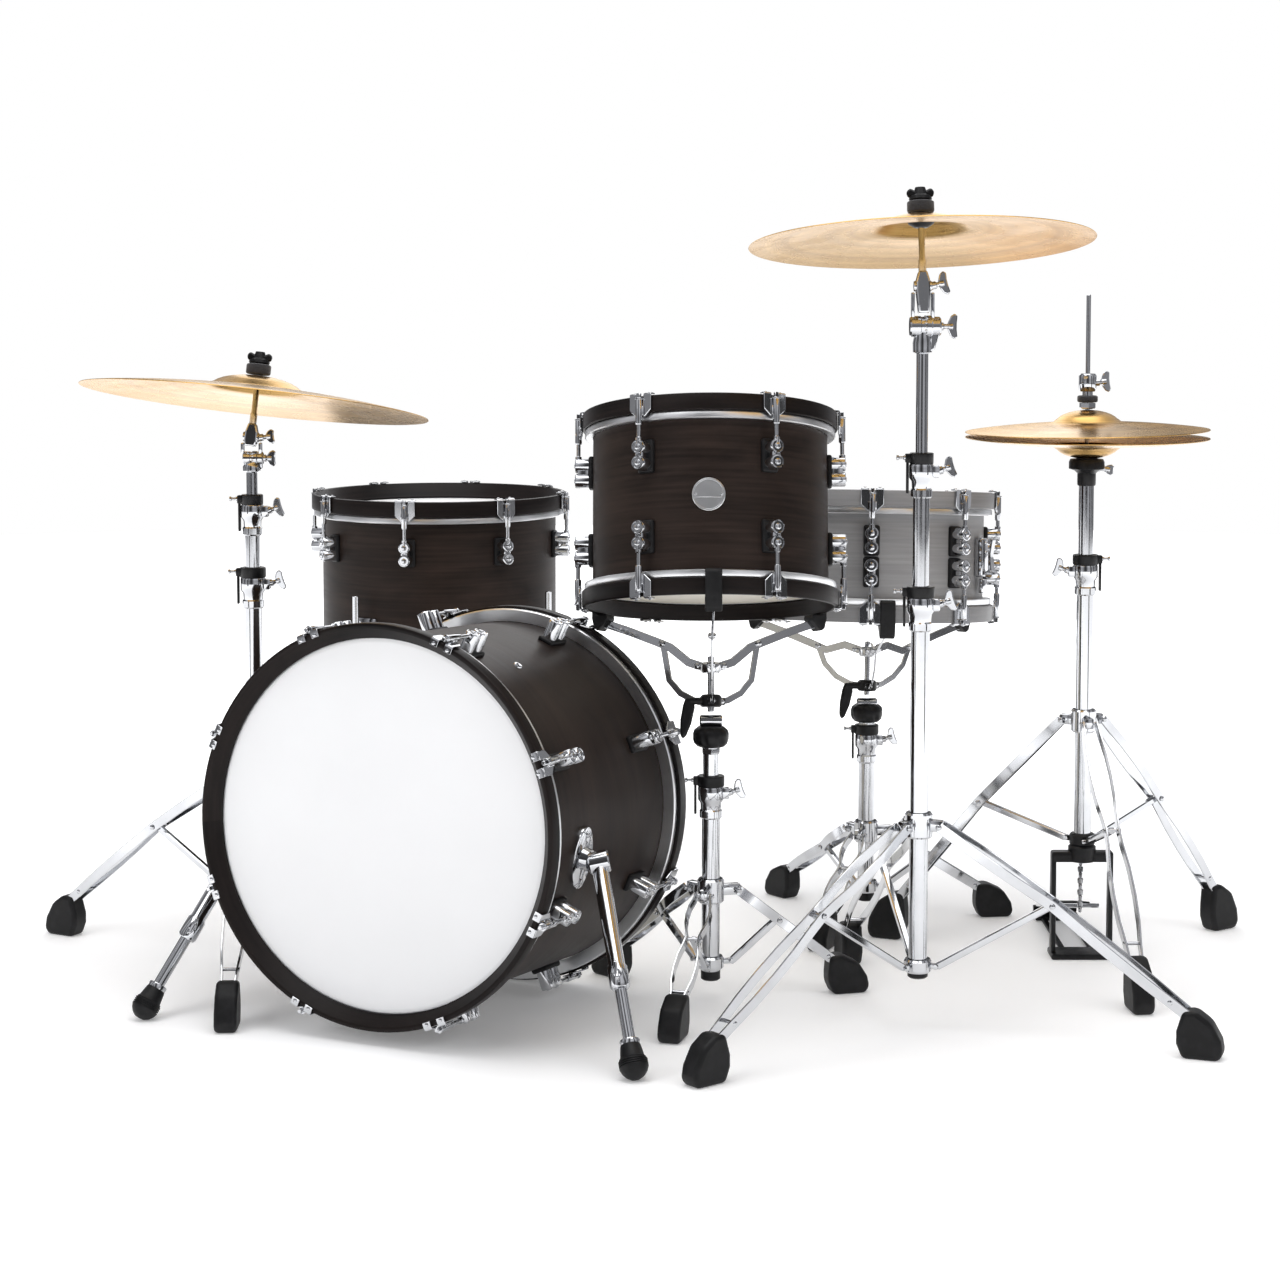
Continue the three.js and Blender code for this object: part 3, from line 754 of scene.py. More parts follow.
def floor_frame(node: str) -> Matrix:
    """An upright millimetre frame on the floor, under the middle of a tube."""
    low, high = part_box(node)
    return Matrix.Translation(((low.x + high.x) / 2, (low.y + high.y) / 2, 0)) @ MM


def plate_frame(node: str, inverted: bool = False) -> Matrix:
    """The frame of a cymbal: Z is its axis and the origin is the middle of its rim's plane.

    Args:
        node: the cymbal's CAD node.
        inverted: whether the bell points down.

    Returns:
        The frame.
    """
    corners = np.unique(
        np.array([tuple(v.co) for v in bpy.data.objects[node].data.vertices]).round(6), axis=0
    )
    centre = corners.mean(axis=0)
    normal = np.linalg.svd(corners - centre, full_matrices=False)[2][2]
    if normal[2] < 0:
        normal = -normal
    along = (corners - centre) @ normal
    rim = along.max() if inverted else along.min()
    return frame_at(Vector(centre + normal * rim), Vector(normal), Vector((1, 0, 0)))


# ---------- drums ----------
@dataclass
class Lug:
    """A twin-turret lug on a rubber seat; X points out from the shell, Z along the drum."""

    reach: float
    radius: float = 10.2
    apart: float = 21.5
    seat: float = 6.0

    def turret(self) -> bpy.types.Object:
        """Two barrels with ringed faces, joined by a web."""
        face = self.reach
        outline = [
            (0, self.seat - 0.5), (self.radius, self.seat - 0.5), (self.radius, face - 2.4),
            (self.radius - 0.9, face - 0.8), (self.radius - 2.2, face - 0.6),
            (self.radius - 2.7, face - 1.4), (4.4, face - 1.4), (3.9, face + 0.3), (2.4, face + 0.9),
            (0, face + 1.1),
        ]
        barrel = moved(turned("barrel", outline, sides=22), spun(90, "Y"))
        other = again(barrel, shift(z=self.apart / 2))
        moved(barrel, shift(z=-self.apart / 2))
        depth = face - self.seat - 4.0
        web = block(
            "web",
            (depth, self.radius * 1.25, self.apart),
            (self.seat + depth / 2 - 0.4, 0, 0),
            ease=1.6,
        )
        return welded("lug", barrel, other, web)

    def gasket(self) -> bpy.types.Object:
        """The rubber seat between the turret and the shell."""
        size = (self.seat + 2.6, self.radius * 2 + 4, self.apart + self.radius * 2 + 4)
        return block("gasket", size, (self.seat / 2 - 1.0, 0, 0), ease=3.4, segments=3)


@dataclass
class Claw:
    """A claw hook over the hoop's edge, with its sleeve, rod and key head.

    Z is 0 at the hoop's outer edge and runs away from the drum.
    """

    hoop_r: float
    lug_inset: float
    deep: float = 24.0
    half: float = 17.0

    def hook(self) -> bpy.types.Object:
        """Two ears over the hoop, their bridge, the sleeve, and the rod down to the lug."""
        out = self.hoop_r
        rod_x = out + 6.0
        ears = []
        for side in (-1, 1):
            plate = slab(
                "ear",
                [
                    (5.2, 1.2), (self.half, 1.2), (self.half, -self.deep + 5), (6.0, -self.deep - 5),
                    (3.0, -self.deep),
                ],
                depth=2.4,
                ease=0.6,
                segments=1,
            )
            plate = moved(plate, Matrix.Diagonal((side, 1, 1, 1)))
            if side < 0:
                plate.data.flip_normals()
            ears.append(moved(plate, shift(out + 2.0) @ spun(90)))
            lip_path = [(out + 2.0, -1.0), (out + 1.8, 1.6), (out - 1.0, 2.4), (out - 8.0, 2.2)]
            ears.append(
                moved(
                    strip("lip", lip_path, thick=self.half - 5.2, wide=2.0),
                    shift(y=side * (self.half + 5.2) / 2),
                )
            )
            screw = turned("screw", [(0, 3.0), (2.6, 3.0), (2.4, 4.3), (1.2, 4.9), (0, 5.0)], sides=12)
            ears.append(moved(screw, shift(out - 4.6, side * (self.half + 5.2) / 2)))
        bridge = block("bridge", (5.0, 13.0, 13.0), (out + 3.4, 0, -self.deep + 3), ease=1.2)
        sleeve = moved(
            turned(
                "sleeve",
                [
                    (0, -self.deep - 16), (4.1, -self.deep - 16), (4.8, -self.deep - 14), (4.8, -7.0),
                    (3.8, -5.0), (0, -5.0),
                ],
                sides=18,
            ),
            shift(rod_x),
        )
        collar_at = -self.lug_inset + 23.0
        rod_outline = [
            (0, -self.lug_inset + 14), (4.6, -self.lug_inset + 14), (4.6, collar_at),
            (2.9, collar_at + 1.5), (2.9, -self.deep - 15), (0, -self.deep - 15),
        ]
        rod = moved(turned("rod", rod_outline, sides=14), shift(rod_x))
        head = block("key_head", (5.4, 5.4, 9.0), (rod_x, 0, -1.8), ease=0.7, segments=1)
        washer = moved(bar("washer", radius=5.6, low=-6.4, high=-4.4, sides=18, ease=0.5), shift(rod_x))
        return welded("claw", *ears, bridge, sleeve, rod, head, washer)


@dataclass
class Drum:
    """A wooden-hooped drum: shell, hoops, flesh hoops, films, lugs and claws."""

    name: str
    body: str
    shell_r: float
    shell_len: float
    wall: float
    lip: float
    proud: float
    ends: tuple[str, str]
    wood: StainedWood
    hoop_wood: StainedWood
    films: tuple[Film, Film]
    first_lug: float
    lugs: int
    lug_inset: float
    sides: int = 112
    frame: Matrix = field(default_factory=Matrix)

    def __post_init__(self) -> None:
        """Reads the drum's frame from its hoops."""
        low = middle(f"{self.name}_hoop_{self.ends[0]}")
        high = middle(f"{self.name}_hoop_{self.ends[1]}")
        axis = (high - low).normalized()
        across = Vector((1, 0, 0)) if abs(axis.z) > 0.5 else Vector((0, 0, 1)).cross(axis)
        hoop_wide = self.proud - 2 * GAP - 2
        self.frame = frame_at(low - axis * hoop_wide / 2000, axis, across)

    @property
    def total(self) -> float:
        """The drum's length over its hoops."""
        return self.shell_len + 2 * self.proud

    @property
    def hoop_r(self) -> float:
        """The hoop's outer radius."""
        return self.shell_r + self.lip

    def end_frame(self, high: bool) -> Matrix:
        """The frame whose origin is a hoop's outer edge and whose Z runs away from the drum."""
        return self.frame @ shift(z=self.total) if high else self.frame @ spun(180, "X")

    def build_shell(self) -> None:
        """The shell, with its bearing edges eased."""
        r, low, high = self.shell_r, self.proud, self.proud + self.shell_len
        steps = [low + 1.5 + (high - low - 3) * k / 6 for k in range(7)]
        outline = [(r - self.wall, low + 5), (r - 3, low), (r - 1.5, low)]
        outline += [(r, z) for z in steps]
        outline += [(r - 1.5, high), (r - 3, high), (r - self.wall, high - 5)]
        shell = unwrap(turned("shell", outline, sides=self.sides), Wrap.SIDE)
        fit(shell, self.wood, f"{self.name}_wood_shell", self.frame, self.body, f"{self.name}_shell")

    def build_ends(self) -> None:
        """Hoop, flesh hoop and film at each end."""
        r, h, p = self.shell_r, self.hoop_r, self.proud
        inner = -(p - 2.7)
        hoop_outline = [
            (r + 1, inner), (h - 1.2, inner), (h, inner + 1.2), (h, -2.6), (h - 0.8, -0.8),
            (h - 2.6, 0), (h - 6, 0), (h - 7.6, -1.2), (r + 3.6, inner + 5), (r + 1, inner + 2.5),
        ]
        hoop = Pattern(
            unwrap(turned("hoop", hoop_outline, sides=self.sides), Wrap.SIDE), self.hoop_wood
        )
        rim = h - 3.5
        ring_outline = [
            (r + 0.7, -p - 7.6), (rim - 1.4, -p - 8), (rim, -p - 6.8), (rim, -p - 0.2),
            (rim - 1.2, -p + 1.9), (r + 0.7, -p + 2.2),
        ]
        ring = Pattern(turned("flesh_ring", ring_outline, sides=self.sides), SATIN)
        film_outline = [
            (0, -p + 1.9), (r * 0.5, -p + 1.9), (r - 9, -p + 1.9), (r - 6, -p + 2.2),
            (r - 2.5, -p + 2.2), (r + 0.4, -p + 1.2), (r + 0.4, -p + 0.5), (r - 4, -p + 0.5),
            (0, -p + 0.5),
        ]
        film = unwrap(turned("film", film_outline, sides=self.sides), Wrap.FACE)
        for high, end, finish in (
            (False, self.ends[0], self.films[0]), (True, self.ends[1], self.films[1])
        ):
            at = self.end_frame(high)
            hoop.stamp(f"{self.name}_wood_hoop_{end}", at, self.body, f"{self.name}_hoop_{end}")
            ring.stamp(f"{self.name}_flesh_ring_{end}", at, self.body)
            Pattern(film, finish).stamp(
                f"{self.name}_film_{end}", at, self.body, f"{self.name}_head_{end}"
            )
        hoop.discard()
        ring.discard()
        bpy.data.objects.remove(film, do_unlink=True)

    def build_tension(self) -> None:
        """A lug and a claw for each tension point, at both ends."""
        lug = Lug(reach=self.lip + 11.0)
        turret, gasket = Pattern(lug.turret(), CHROME), Pattern(lug.gasket(), RUBBER)
        claw = Pattern(
            Claw(hoop_r=self.hoop_r, lug_inset=self.lug_inset, deep=self.proud - 1.0).hook(), CHROME
        )
        for high, end in ((False, self.ends[0]), (True, self.ends[1])):
            for k in range(self.lugs):
                turn = self.first_lug + k * 360 / self.lugs
                at = self.end_frame(high) @ spun(turn if high else -turn)
                claw.stamp(f"{self.name}_claw_{end}_{k + 1}", at, self.body)
                foot = at @ shift(self.shell_r, 0, -self.lug_inset)
                turret.stamp(f"{self.name}_lug_{end}_{k + 1}", foot, self.body)
                gasket.stamp(f"{self.name}_lug_seat_{end}_{k + 1}", foot, self.body)
        claw.discard()
        turret.discard()
        gasket.discard()

    def build(self) -> None:
        """Builds the whole drum."""
        self.build_shell()
        self.build_ends()
        self.build_tension()
        log.info("%s: shell, hoops, films and %d tension points an end", self.name, self.lugs)


@dataclass
class Badge:
    """A plain round badge with a rim, a rule and two pins."""

    drum: Drum
    turn: float
    height: float
    radius: float = 22.5

    def build(self) -> None:
        """Builds the badge on its drum's shell."""
        disc = turned(
            "disc",
            [
                (0, 0), (self.radius, 0), (self.radius, 1.6), (self.radius - 0.8, 2.3),
                (self.radius - 2.2, 2.3), (self.radius - 2.6, 1.7), (0, 1.7),
            ],
            sides=64,
        )
        rule = block("rule", (0.9, self.radius * 1.6, 1.0), (4, 0, 1.9), ease=0.2, segments=1)
        pins = [
            moved(
                turned("pin", [(0, 1.6), (1.8, 1.6), (1.5, 2.7), (0, 3.0)], sides=14),
                shift(0, s * self.radius * 0.78),
            )
            for s in (-1, 1)
        ]
        at = self.drum.frame @ spun(self.turn) @ shift(
            self.drum.shell_r - 1.2, 0, self.height
        ) @ spun(90, "Y")
        fit(welded("badge", disc, rule, *pins), SATIN, f"{self.drum.name}_badge", at, self.drum.body)
        log.info("%s badge", self.drum.name)


@dataclass
class Vent:
    """A small air-vent grommet in a shell."""

    drum: Drum
    turn: float
    height: float

    def build(self) -> None:
        """Builds the grommet."""
        ring = turned(
            "vent", [(2.6, -3), (6.4, -3), (6.6, 0.2), (5.6, 1.8), (3.6, 2.0), (2.6, 1.0)], sides=28
        )
        at = self.drum.frame @ spun(self.turn) @ shift(
            self.drum.shell_r, 0, self.height
        ) @ spun(90, "Y")
        fit(ring, CHROME, f"{self.drum.name}_vent", at, self.drum.body)


def wing_screw(length: float = 16.0, span: float = 15.0) -> bpy.types.Object:
    """A wing screw that points along X, with its boss at the origin."""
    boss = moved(
        turned(
            "boss",
            [
                (0, -2), (5.4, -2), (5.4, 5), (3.6, 6.4), (3.2, length - 7), (4.6, length - 5),
                (4.4, length), (0, length + 1),
            ],
            sides=16,
        ),
        spun(90, "Y"),
    )
    wing = slab(
        "wing",
        [
            (length - 7, -4), (length - 3, -span * 0.8), (length + 2, -span), (length + 6, -span + 3),
            (length + 5, -4), (length + 5, 4), (length + 6, span - 3), (length + 2, span),
            (length - 3, span * 0.8), (length - 7, 4),
        ],
        depth=4.6,
        ease=1.4,
        segments=2,
    )
    return welded("wing_screw", boss, wing)


@dataclass
class TubeClamp:
    """A height clamp on a tube: chrome casting, wing screw and black memory collar. Z is 0 at its top."""

    tube_r: float
    top_r: float
    side: float = 1.0

    def casting(self) -> bpy.types.Object:
        """The chrome casting with its sleeve and its screw."""
        r = self.tube_r
        body = turned(
            "casting",
            [
                (self.top_r + 0.5, -15), (r + 4.4, -15), (r + 5.4, -17), (r + 5.4, -33), (r + 2.2, -38),
                (r + 1.6, -47), (r + 3.2, -49), (r + 3.2, -58), (r + 1.4, -60), (r + 0.15, -60),
                (r + 0.15, -20), (self.top_r + 0.5, -18),
            ],
            sides=36,
        )
        ear = block("ear", (14, 13, 16), (r + 6, 0, -25), ease=2.2)
        screw = moved(wing_screw(), shift(r + 12, 0, -24) @ spun(-18, "Y"))
        return welded("casting", body, ear, screw)

    def collar(self) -> bpy.types.Object:
        """The black memory collar with its tab."""
        r = self.top_r
        body = turned(
            "collar",
            [
                (r + 0.25, -14.6), (r + 7.4, -14.6), (r + 8, -13.6), (r + 8, -1), (r + 7, 0),
                (r + 0.25, 0),
            ],
            sides=36,
        )
        ear = block("ear", (13, 11, 12), (-r - 7, 0, -7.2), ease=1.4)
        tab = block("tab", (3.4, 8, 44), (-r - 10.6, 0, -32), ease=1.2)
        return welded("collar", body, ear, tab)

    def pin(self) -> bpy.types.Object:
        """The collar's small screw."""
        return moved(
            turned(
                "pin",
                [(0, 0), (3.2, 0), (3.2, 3), (2, 4), (2, 9), (3.4, 10), (3.4, 12.5), (0, 13)],
                sides=14,
            ),
            shift(-self.top_r - 12.5, 0, -6.5) @ spun(-90, "Y"),
        )

    def build(self, name: str, frame: Matrix, body: str) -> None:
        """Builds the clamp.

        Args:
            name: the clamp's name.
            frame: its frame, with Z 0 at its top.
            body: the body it rides on.
        """
        at = frame @ spun(0 if self.side > 0 else 180)
        fit(self.casting(), CHROME, f"{name}_casting", at, body)
        fit(self.collar(), PLASTIC, f"{name}_memory_collar", at, body)
        fit(self.pin(), CHROME, f"{name}_collar_pin", at, body)


def base_tube(name: str, clamp: str, at: Matrix, bottom: float, top: float) -> None:
    """The lower tube of a stand, with its end plug and its clamp.

    Args:
        name: the stand's name.
        clamp: the clamp's name.
        at: the stand's frame on the floor.
        bottom: the height of the tube's lower end.
        top: the height of the clamp's top.
    """
    tube = pipe(
        "tube", outer=BASE_TUBE_R, inner=MIDDLE_TUBE_R + 0.3, low=bottom, high=top - CLAMP_OVER_TUBE
    )
    fit(tube, CHROME, f"{name}_lower_pipe", at, "kit_base", f"{name}_base_tube")
    plug_r = BASE_TUBE_R + 1
    outline = [
        (0, bottom - 3), (BASE_TUBE_R - 1.5, bottom - 3), (plug_r, bottom - 1), (plug_r, bottom + 10),
        (0, bottom + 10),
    ]
    fit(turned("plug", outline, sides=32), PLASTIC, f"{name}_pipe_plug", at, "kit_base")
    TubeClamp(tube_r=BASE_TUBE_R, top_r=MIDDLE_TUBE_R).build(clamp, at @ shift(z=top), "kit_base")


# ---------- tripods ----------
def between(a: tuple[float, float], b: tuple[float, float], share: float) -> tuple[float, float]:
    """The point that lies a share of the way from a to b."""
    return (a[0] + (b[0] - a[0]) * share, a[1] + (b[1] - a[1]) * share)


@dataclass
class Tripod:
    """Three double-strip legs with braces, a collar and a lower bracket. Points are radius and height."""

    name: str
    tube: str
    collar: tuple[float, float]
    joint: tuple[float, float]
    low: tuple[float, float]
    end: tuple[float, float]
    foot: float
    turn: float
    wide: float = 14.0
    thick: float = 3.0
    tube_r: float = BASE_TUBE_R
    bracket: Finish = CHROME

    def leg(self) -> bpy.types.Object:
        """Two bowed strips, pinched at the joint and the foot, with their rivets."""
        path, spread = [], []
        for a, b, first, last in (
            (self.collar, self.joint, 10.0, 9.0), (self.joint, self.end, 9.0, 9.0)
        ):
            for share, bow in (
                (0.0, 0.0), (0.12, 1.4), (0.3, 5.2), (0.5, 6.4), (0.7, 5.2), (0.88, 1.4)
            ):
                path.append(between(a, b, share))
                spread.append(first + (last - first) * share + bow)
        path.append(self.end)
        spread.append(8.6)
        strips = [
            strip("strip", path, thick=self.thick, wide=self.wide, shifts=[side * s for s in spread])
            for side in (-1, 1)
        ]
        rivets = []
        for at, half in (
            (self.collar, 13.0), (self.joint, 12.0), (between(self.joint, self.end, 0.86), 12.0)
        ):
            outline = [
                (0, -half - 1.6), (2.6, -half - 1.2), (3.8, -half), (2.6, -half), (2.6, half),
                (3.8, half), (2.6, half + 1.2), (0, half + 1.6),
            ]
            rivets.append(
                moved(turned("rivet", outline, sides=14), shift(at[0], 0, at[1]) @ spun(90, "X"))
            )
        return welded("leg", *strips, *rivets)

    def rubber_foot(self) -> bpy.types.Object:
        """The bevelled rubber foot, flat on the floor."""
        heel, toe, top = self.foot - 31, self.foot + 16, self.end[1] + 10
        lean = [
            (heel, 0), (toe, 0), (toe + 6, top * 0.16), (toe + 3, top * 0.42), (toe - 10, top * 0.78),
            (self.end[0] + 8, top), (self.end[0] - 9, top - 2), (heel - 8, top * 0.55),
            (heel - 8, top * 0.3),
        ]
        body = slab("foot", lean, depth=31, ease=7.0, segments=4)
        ribs = [
            block("rib", (2.2, 24, 3.0), (heel + 9 + 7 * k, 0, 1.6), ease=0.8, segments=1)
            for k in range(5)
        ]
        return welded("foot", body, *ribs)

    def brace(self) -> bpy.types.Object:
        """The brace from the lower bracket to the leg's joint."""
        start, stop = (self.low[0] + 1, self.low[1]), (self.joint[0] - 1.5, self.joint[1])
        channel = strip(
            "brace",
            [start, ((start[0] + stop[0]) / 2, (start[1] + stop[1]) / 2), stop],
            thick=9.0,
            wide=9.5,
        )
        outline = [(0, -7.6), (3.4, -7.2), (3.4, 7.2), (0, 7.6)]
        rivet = moved(
            turned("rivet", outline, sides=14), shift(self.low[0], 0, self.low[1]) @ spun(90, "X")
        )
        return welded("brace", channel, rivet)

    def hub(self, centre: tuple[float, float], tall: float, half: float) -> bpy.types.Object:
        """A cast collar round the tube with an ear for each leg."""
        r, z = self.tube_r, centre[1]
        h = tall / 2
        body = turned(
            "hub",
            [
                (r + 0.4, z - h), (r + 4, z - h), (r + 6, z - h + 2.5), (r + 6, z + h - 2.5),
                (r + 4, z + h), (r + 0.4, z + h),
            ],
            sides=36,
        )
        ears = []
        for k in range(3):
            reach = centre[0] - r - 2
            ear = block(
                "ear", (reach + 6, half * 2 - 4, tall * 0.46), (r + 3 + reach / 2, 0, z), ease=2.0
            )
            ears.append(moved(ear, spun(self.turn + LEG_STEP * k)))
        return welded("hub", body, *ears)

    def build(self) -> None:
        """Builds the tripod."""
        at = floor_frame(self.tube)
        node = self.name
        patterns = (
            ("leg", Pattern(self.leg(), CHROME), (f"{node}_legs",)),
            ("foot", Pattern(self.rubber_foot(), RUBBER), ()),
            ("brace", Pattern(self.brace(), CHROME), (f"{node}_braces",)),
        )
        for part, pattern, stands_for in patterns:
            for k in range(3):
                pattern.stamp(
                    f"{node}_{part}_{k + 1}",
                    at @ spun(self.turn + LEG_STEP * k),
                    "kit_base",
                    *stands_for,
                )
            pattern.discard()
        fit(self.hub(self.collar, 34, 8), CHROME, f"{node}_collar", at, "kit_base")
        fit(self.hub(self.low, 18, 5), self.bracket, f"{node}_bracket", at, "kit_base")
        log.info("%s tripod", self.name)


# ---------- cymbals ----------
@dataclass
class Cymbal:
    """A bronze plate with a bow and a bell; its rim's plane is z = 0."""

    radius: float
    bow: float
    bell: float
    hole: float = 6.5
    bell_share: float = 0.26
    thick: float = 1.5
    neck: float = 2.2

    def height(self, r: float) -> float:
        """The underside's height at a radius."""
        bell_r = self.radius * self.bell_share
        dome = self.bell * math.sqrt(1 - (r / bell_r) ** 2) if r < bell_r else 0.0
        reach = 7.0 if r >= bell_r else 3.0
        blend = self.neck * math.exp(-(((r - bell_r) / reach) ** 2))
        return self.bow * (1 - (r / self.radius) ** 2) + dome + (blend if r > bell_r * 0.97 else 0)

    def shape(self) -> bpy.types.Object:
        """The plate, finely turned, with a rolled rim."""
        bell_r = self.radius * self.bell_share
        near = [
            self.hole, self.hole + 2, bell_r * 0.4, bell_r * 0.6, bell_r * 0.76, bell_r * 0.88,
            bell_r * 0.95, bell_r * 0.99, bell_r + 3, bell_r + 9,
        ]
        far = [bell_r + 9 + (self.radius - bell_r - 9) * k / 12 for k in range(1, 13)]
        radii = near + far
        under = [(r, self.height(r)) for r in radii]
        over = [(r, self.height(r) + self.thick) for r in reversed(radii[:-1])]
        rim = [(self.radius + 0.35, self.thick * 0.35), (self.radius - 0.3, self.thick * 0.9)]
        return unwrap(turned("cymbal", under + rim + over, sides=128), Wrap.FACE)


def felt_washer(name: str, radius: float, hole: float, tall: float) -> bpy.types.Object:
    """A pressed felt washer with crowned faces."""
    outline = [
        (hole, 0.6), (radius - 2.4, 0), (radius - 0.6, 0.9), (radius, 2.6), (radius, tall - 2.6),
        (radius - 0.6, tall - 0.9), (radius - 2.4, tall), (hole, tall - 0.6),
    ]
    return turned(name, outline, sides=36)


@dataclass
class CymbalStand:
    """A telescoping cymbal stand, its tilter and its cymbal."""

    name: str
    base_top: float
    mid_top: float
    hub: float
    pivot: float
    pivot_to_rim: float
    cymbal: Cymbal
    boom: bool
    bottom: float = 76.0
    socket: float = 36.0
    top_r: float = 8.0

    def build_tubes(self) -> None:
        """The three tubes and the two clamps between them."""
        at = floor_frame(f"{self.name}_base_tube")
        n = self.name
        base_tube(n, f"{n}_lower_clamp", at, self.bottom, self.base_top)
        fit(
            pipe(
                "tube",
                outer=MIDDLE_TUBE_R,
                inner=self.top_r + 0.3,
                low=self.base_top - TUBE_OVERLAP,
                high=self.mid_top - CLAMP_OVER_TUBE,
            ),
            CHROME,
            f"{n}_middle_pipe",
            at,
            f"{n}_middle",
            f"{n}_middle_tube",
        )
        TubeClamp(tube_r=MIDDLE_TUBE_R, top_r=self.top_r).build(
            f"{n}_upper_clamp", at @ shift(z=self.mid_top), f"{n}_middle"
        )
        fit(
            bar("tube", radius=self.top_r, low=self.mid_top - 120, high=self.hub - 8),
            CHROME,
            f"{n}_top_pipe",
            at,
            f"{n}_upper",
            f"{n}_upper_tube",
        )

    def build_hub(self) -> None:
        """The hub at the top of the tubes."""
        at = floor_frame(f"{self.name}_base_tube") @ shift(z=self.hub)
        big = 1.0 if self.boom else 0.72
        barrel = moved(
            turned(
                "barrel",
                [
                    (0, -17), (12, -17), (14, -15), (14, -3), (13, -2), (13, 4), (14.6, 5), (14.6, 11),
                    (13, 13), (13, 22), (11, 24), (0, 24),
                ],
                sides=40,
            ),
            Matrix.Scale(big, 4) @ spun(90, "Y"),
        )
        rosette = [
            moved(
                block("tooth", (2.0, 2.2, 5.0), (13.4 * big, 0, 0), ease=0.5, segments=1),
                spun(90, "Y") @ spun(360 * k / RATCHET_TEETH) @ shift(z=4.5 * big),
            )
            for k in range(RATCHET_TEETH)
        ]
        socket = turned(
            "socket",
            [
                (0, -self.socket), (self.top_r + 1.2, -self.socket),
                (self.top_r + 4.6, 2 - self.socket), (self.top_r + 5, -self.socket * 0.6),
                (self.top_r + 3, -12 * big), (self.top_r + 2, -4), (0, -4),
            ],
            sides=32,
        )
        arm = slab(
            "arm",
            [
                (self.top_r, 2 - self.socket), (self.top_r + 8, 6 - self.socket), (21 * big, -12 * big),
                (24 * big, 0), (20 * big, 9), (12 * big, 9), (10 * big, -6),
            ],
            depth=15 * big,
            ease=2.0,
            segments=2,
        )
        screw = moved(wing_screw(length=16 * big + 2, span=17 * big), shift(22 * big))
        low, high = 8 * big, self.pivot - self.hub - 8.2
        fork = [
            block("fork", (4.4, 12, high - low), (side * 13, 0, (low + high) / 2), ease=1.6)
            for side in (-1, 1)
        ]
        fit(
            welded("hub", barrel, *rosette, socket, arm, screw, *fork),
            CHROME,
            f"{self.name}_hub",
            at,
            f"{self.name}_upper",
        )

    def build_tilter(self) -> None:
        """The tilter, its stem, seat, felts and wing nut."""
        body = f"{self.name}_tilt_head"
        at = plate_frame(f"{self.name}_cymbal")
        pivot = -self.pivot_to_rim
        drop = self.pivot - self.hub
        yoke = slab(
            "yoke",
            [
                (-7, -drop + 17), (7, -drop + 17), (9.5, -6), (9, 8), (5.5, 20), (-5.5, 20), (-9, 8),
                (-9.5, -6),
            ],
            depth=17,
            ease=2.2,
            segments=2,
        )
        yoke = moved(yoke, shift(z=pivot))
        pin = moved(
            turned("pin", [(0, -13), (6.5, -12), (7.4, -10), (7.4, 10), (5.6, 12), (0, 12)], sides=28),
            shift(z=pivot) @ spun(90, "Y"),
        )
        screw = moved(
            wing_screw(length=16, span=16 if self.boom else 11), shift(12, 0, pivot) @ spun(-12, "Y")
        )
        rise = self.cymbal.height(self.cymbal.hole)
        stem = turned(
            "stem",
            [
                (0, pivot + 18), (5.2, pivot + 18), (5.2, pivot + 34), (4.2, pivot + 36),
                (4.2, rise - 16), (3.4, rise - 15), (3.4, rise + 36), (0, rise + 36),
            ],
            sides=22,
        )
        fit(
            welded("tilter", yoke, pin, screw, stem),
            CHROME,
            f"{self.name}_tilt_yoke",
            at,
            body,
            f"{self.name}_tilter",
        )
        fit(
            turned(
                "seat",
                [
                    (4.6, rise - 17), (9, rise - 17), (17, rise - 12), (18, rise - 9.5), (17, rise - 8),
                    (4.6, rise - 8),
                ],
                sides=36,
            ),
            PLASTIC,
            f"{self.name}_seat_cup",
            at,
            body,
        )
        fit(
            moved(felt_washer("felt", radius=17.5, hole=5.2, tall=8), shift(z=rise - 8.4)),
            FELT,
            f"{self.name}_lower_felt",
            at,
            body,
        )
        fit(
            moved(felt_washer("felt", radius=18.0, hole=4.6, tall=15), shift(z=rise + 3.2)),
            FELT,
            f"{self.name}_upper_felt",
            at,
            body,
        )
        nut_z = rise + 18.6
        nut = turned(
            "nut",
            [
                (3.6, nut_z), (14, nut_z), (15.4, nut_z + 2), (14.4, nut_z + 6), (9, nut_z + 9),
                (7.6, nut_z + 15), (6.6, nut_z + 18), (3.6, nut_z + 18),
            ],
            sides=32,
        )
        wings = slab(
            "wings",
            [
                (-8, nut_z + 3), (-17, nut_z + 5), (-18.5, nut_z + 12), (-14, nut_z + 17),
                (-6, nut_z + 13), (6, nut_z + 13), (14, nut_z + 17), (18.5, nut_z + 12),
                (17, nut_z + 5), (8, nut_z + 3),
            ],
            depth=9,
            ease=2.8,
            segments=3,
        )
        fit(welded("wing_nut", nut, wings), PLASTIC, f"{self.name}_wing_nut", at, body)

    def build(self) -> None:
        """Builds the stand above its tripod, and its cymbal."""
        self.build_tubes()
        self.build_hub()
        self.build_tilter()
        fit(
            self.cymbal.shape(),
            BRONZE,
            f"{self.name}_bronze",
            plate_frame(f"{self.name}_cymbal"),
            f"{self.name}_plate",
            f"{self.name}_cymbal",
        )
        log.info("%s stand and cymbal", self.name)


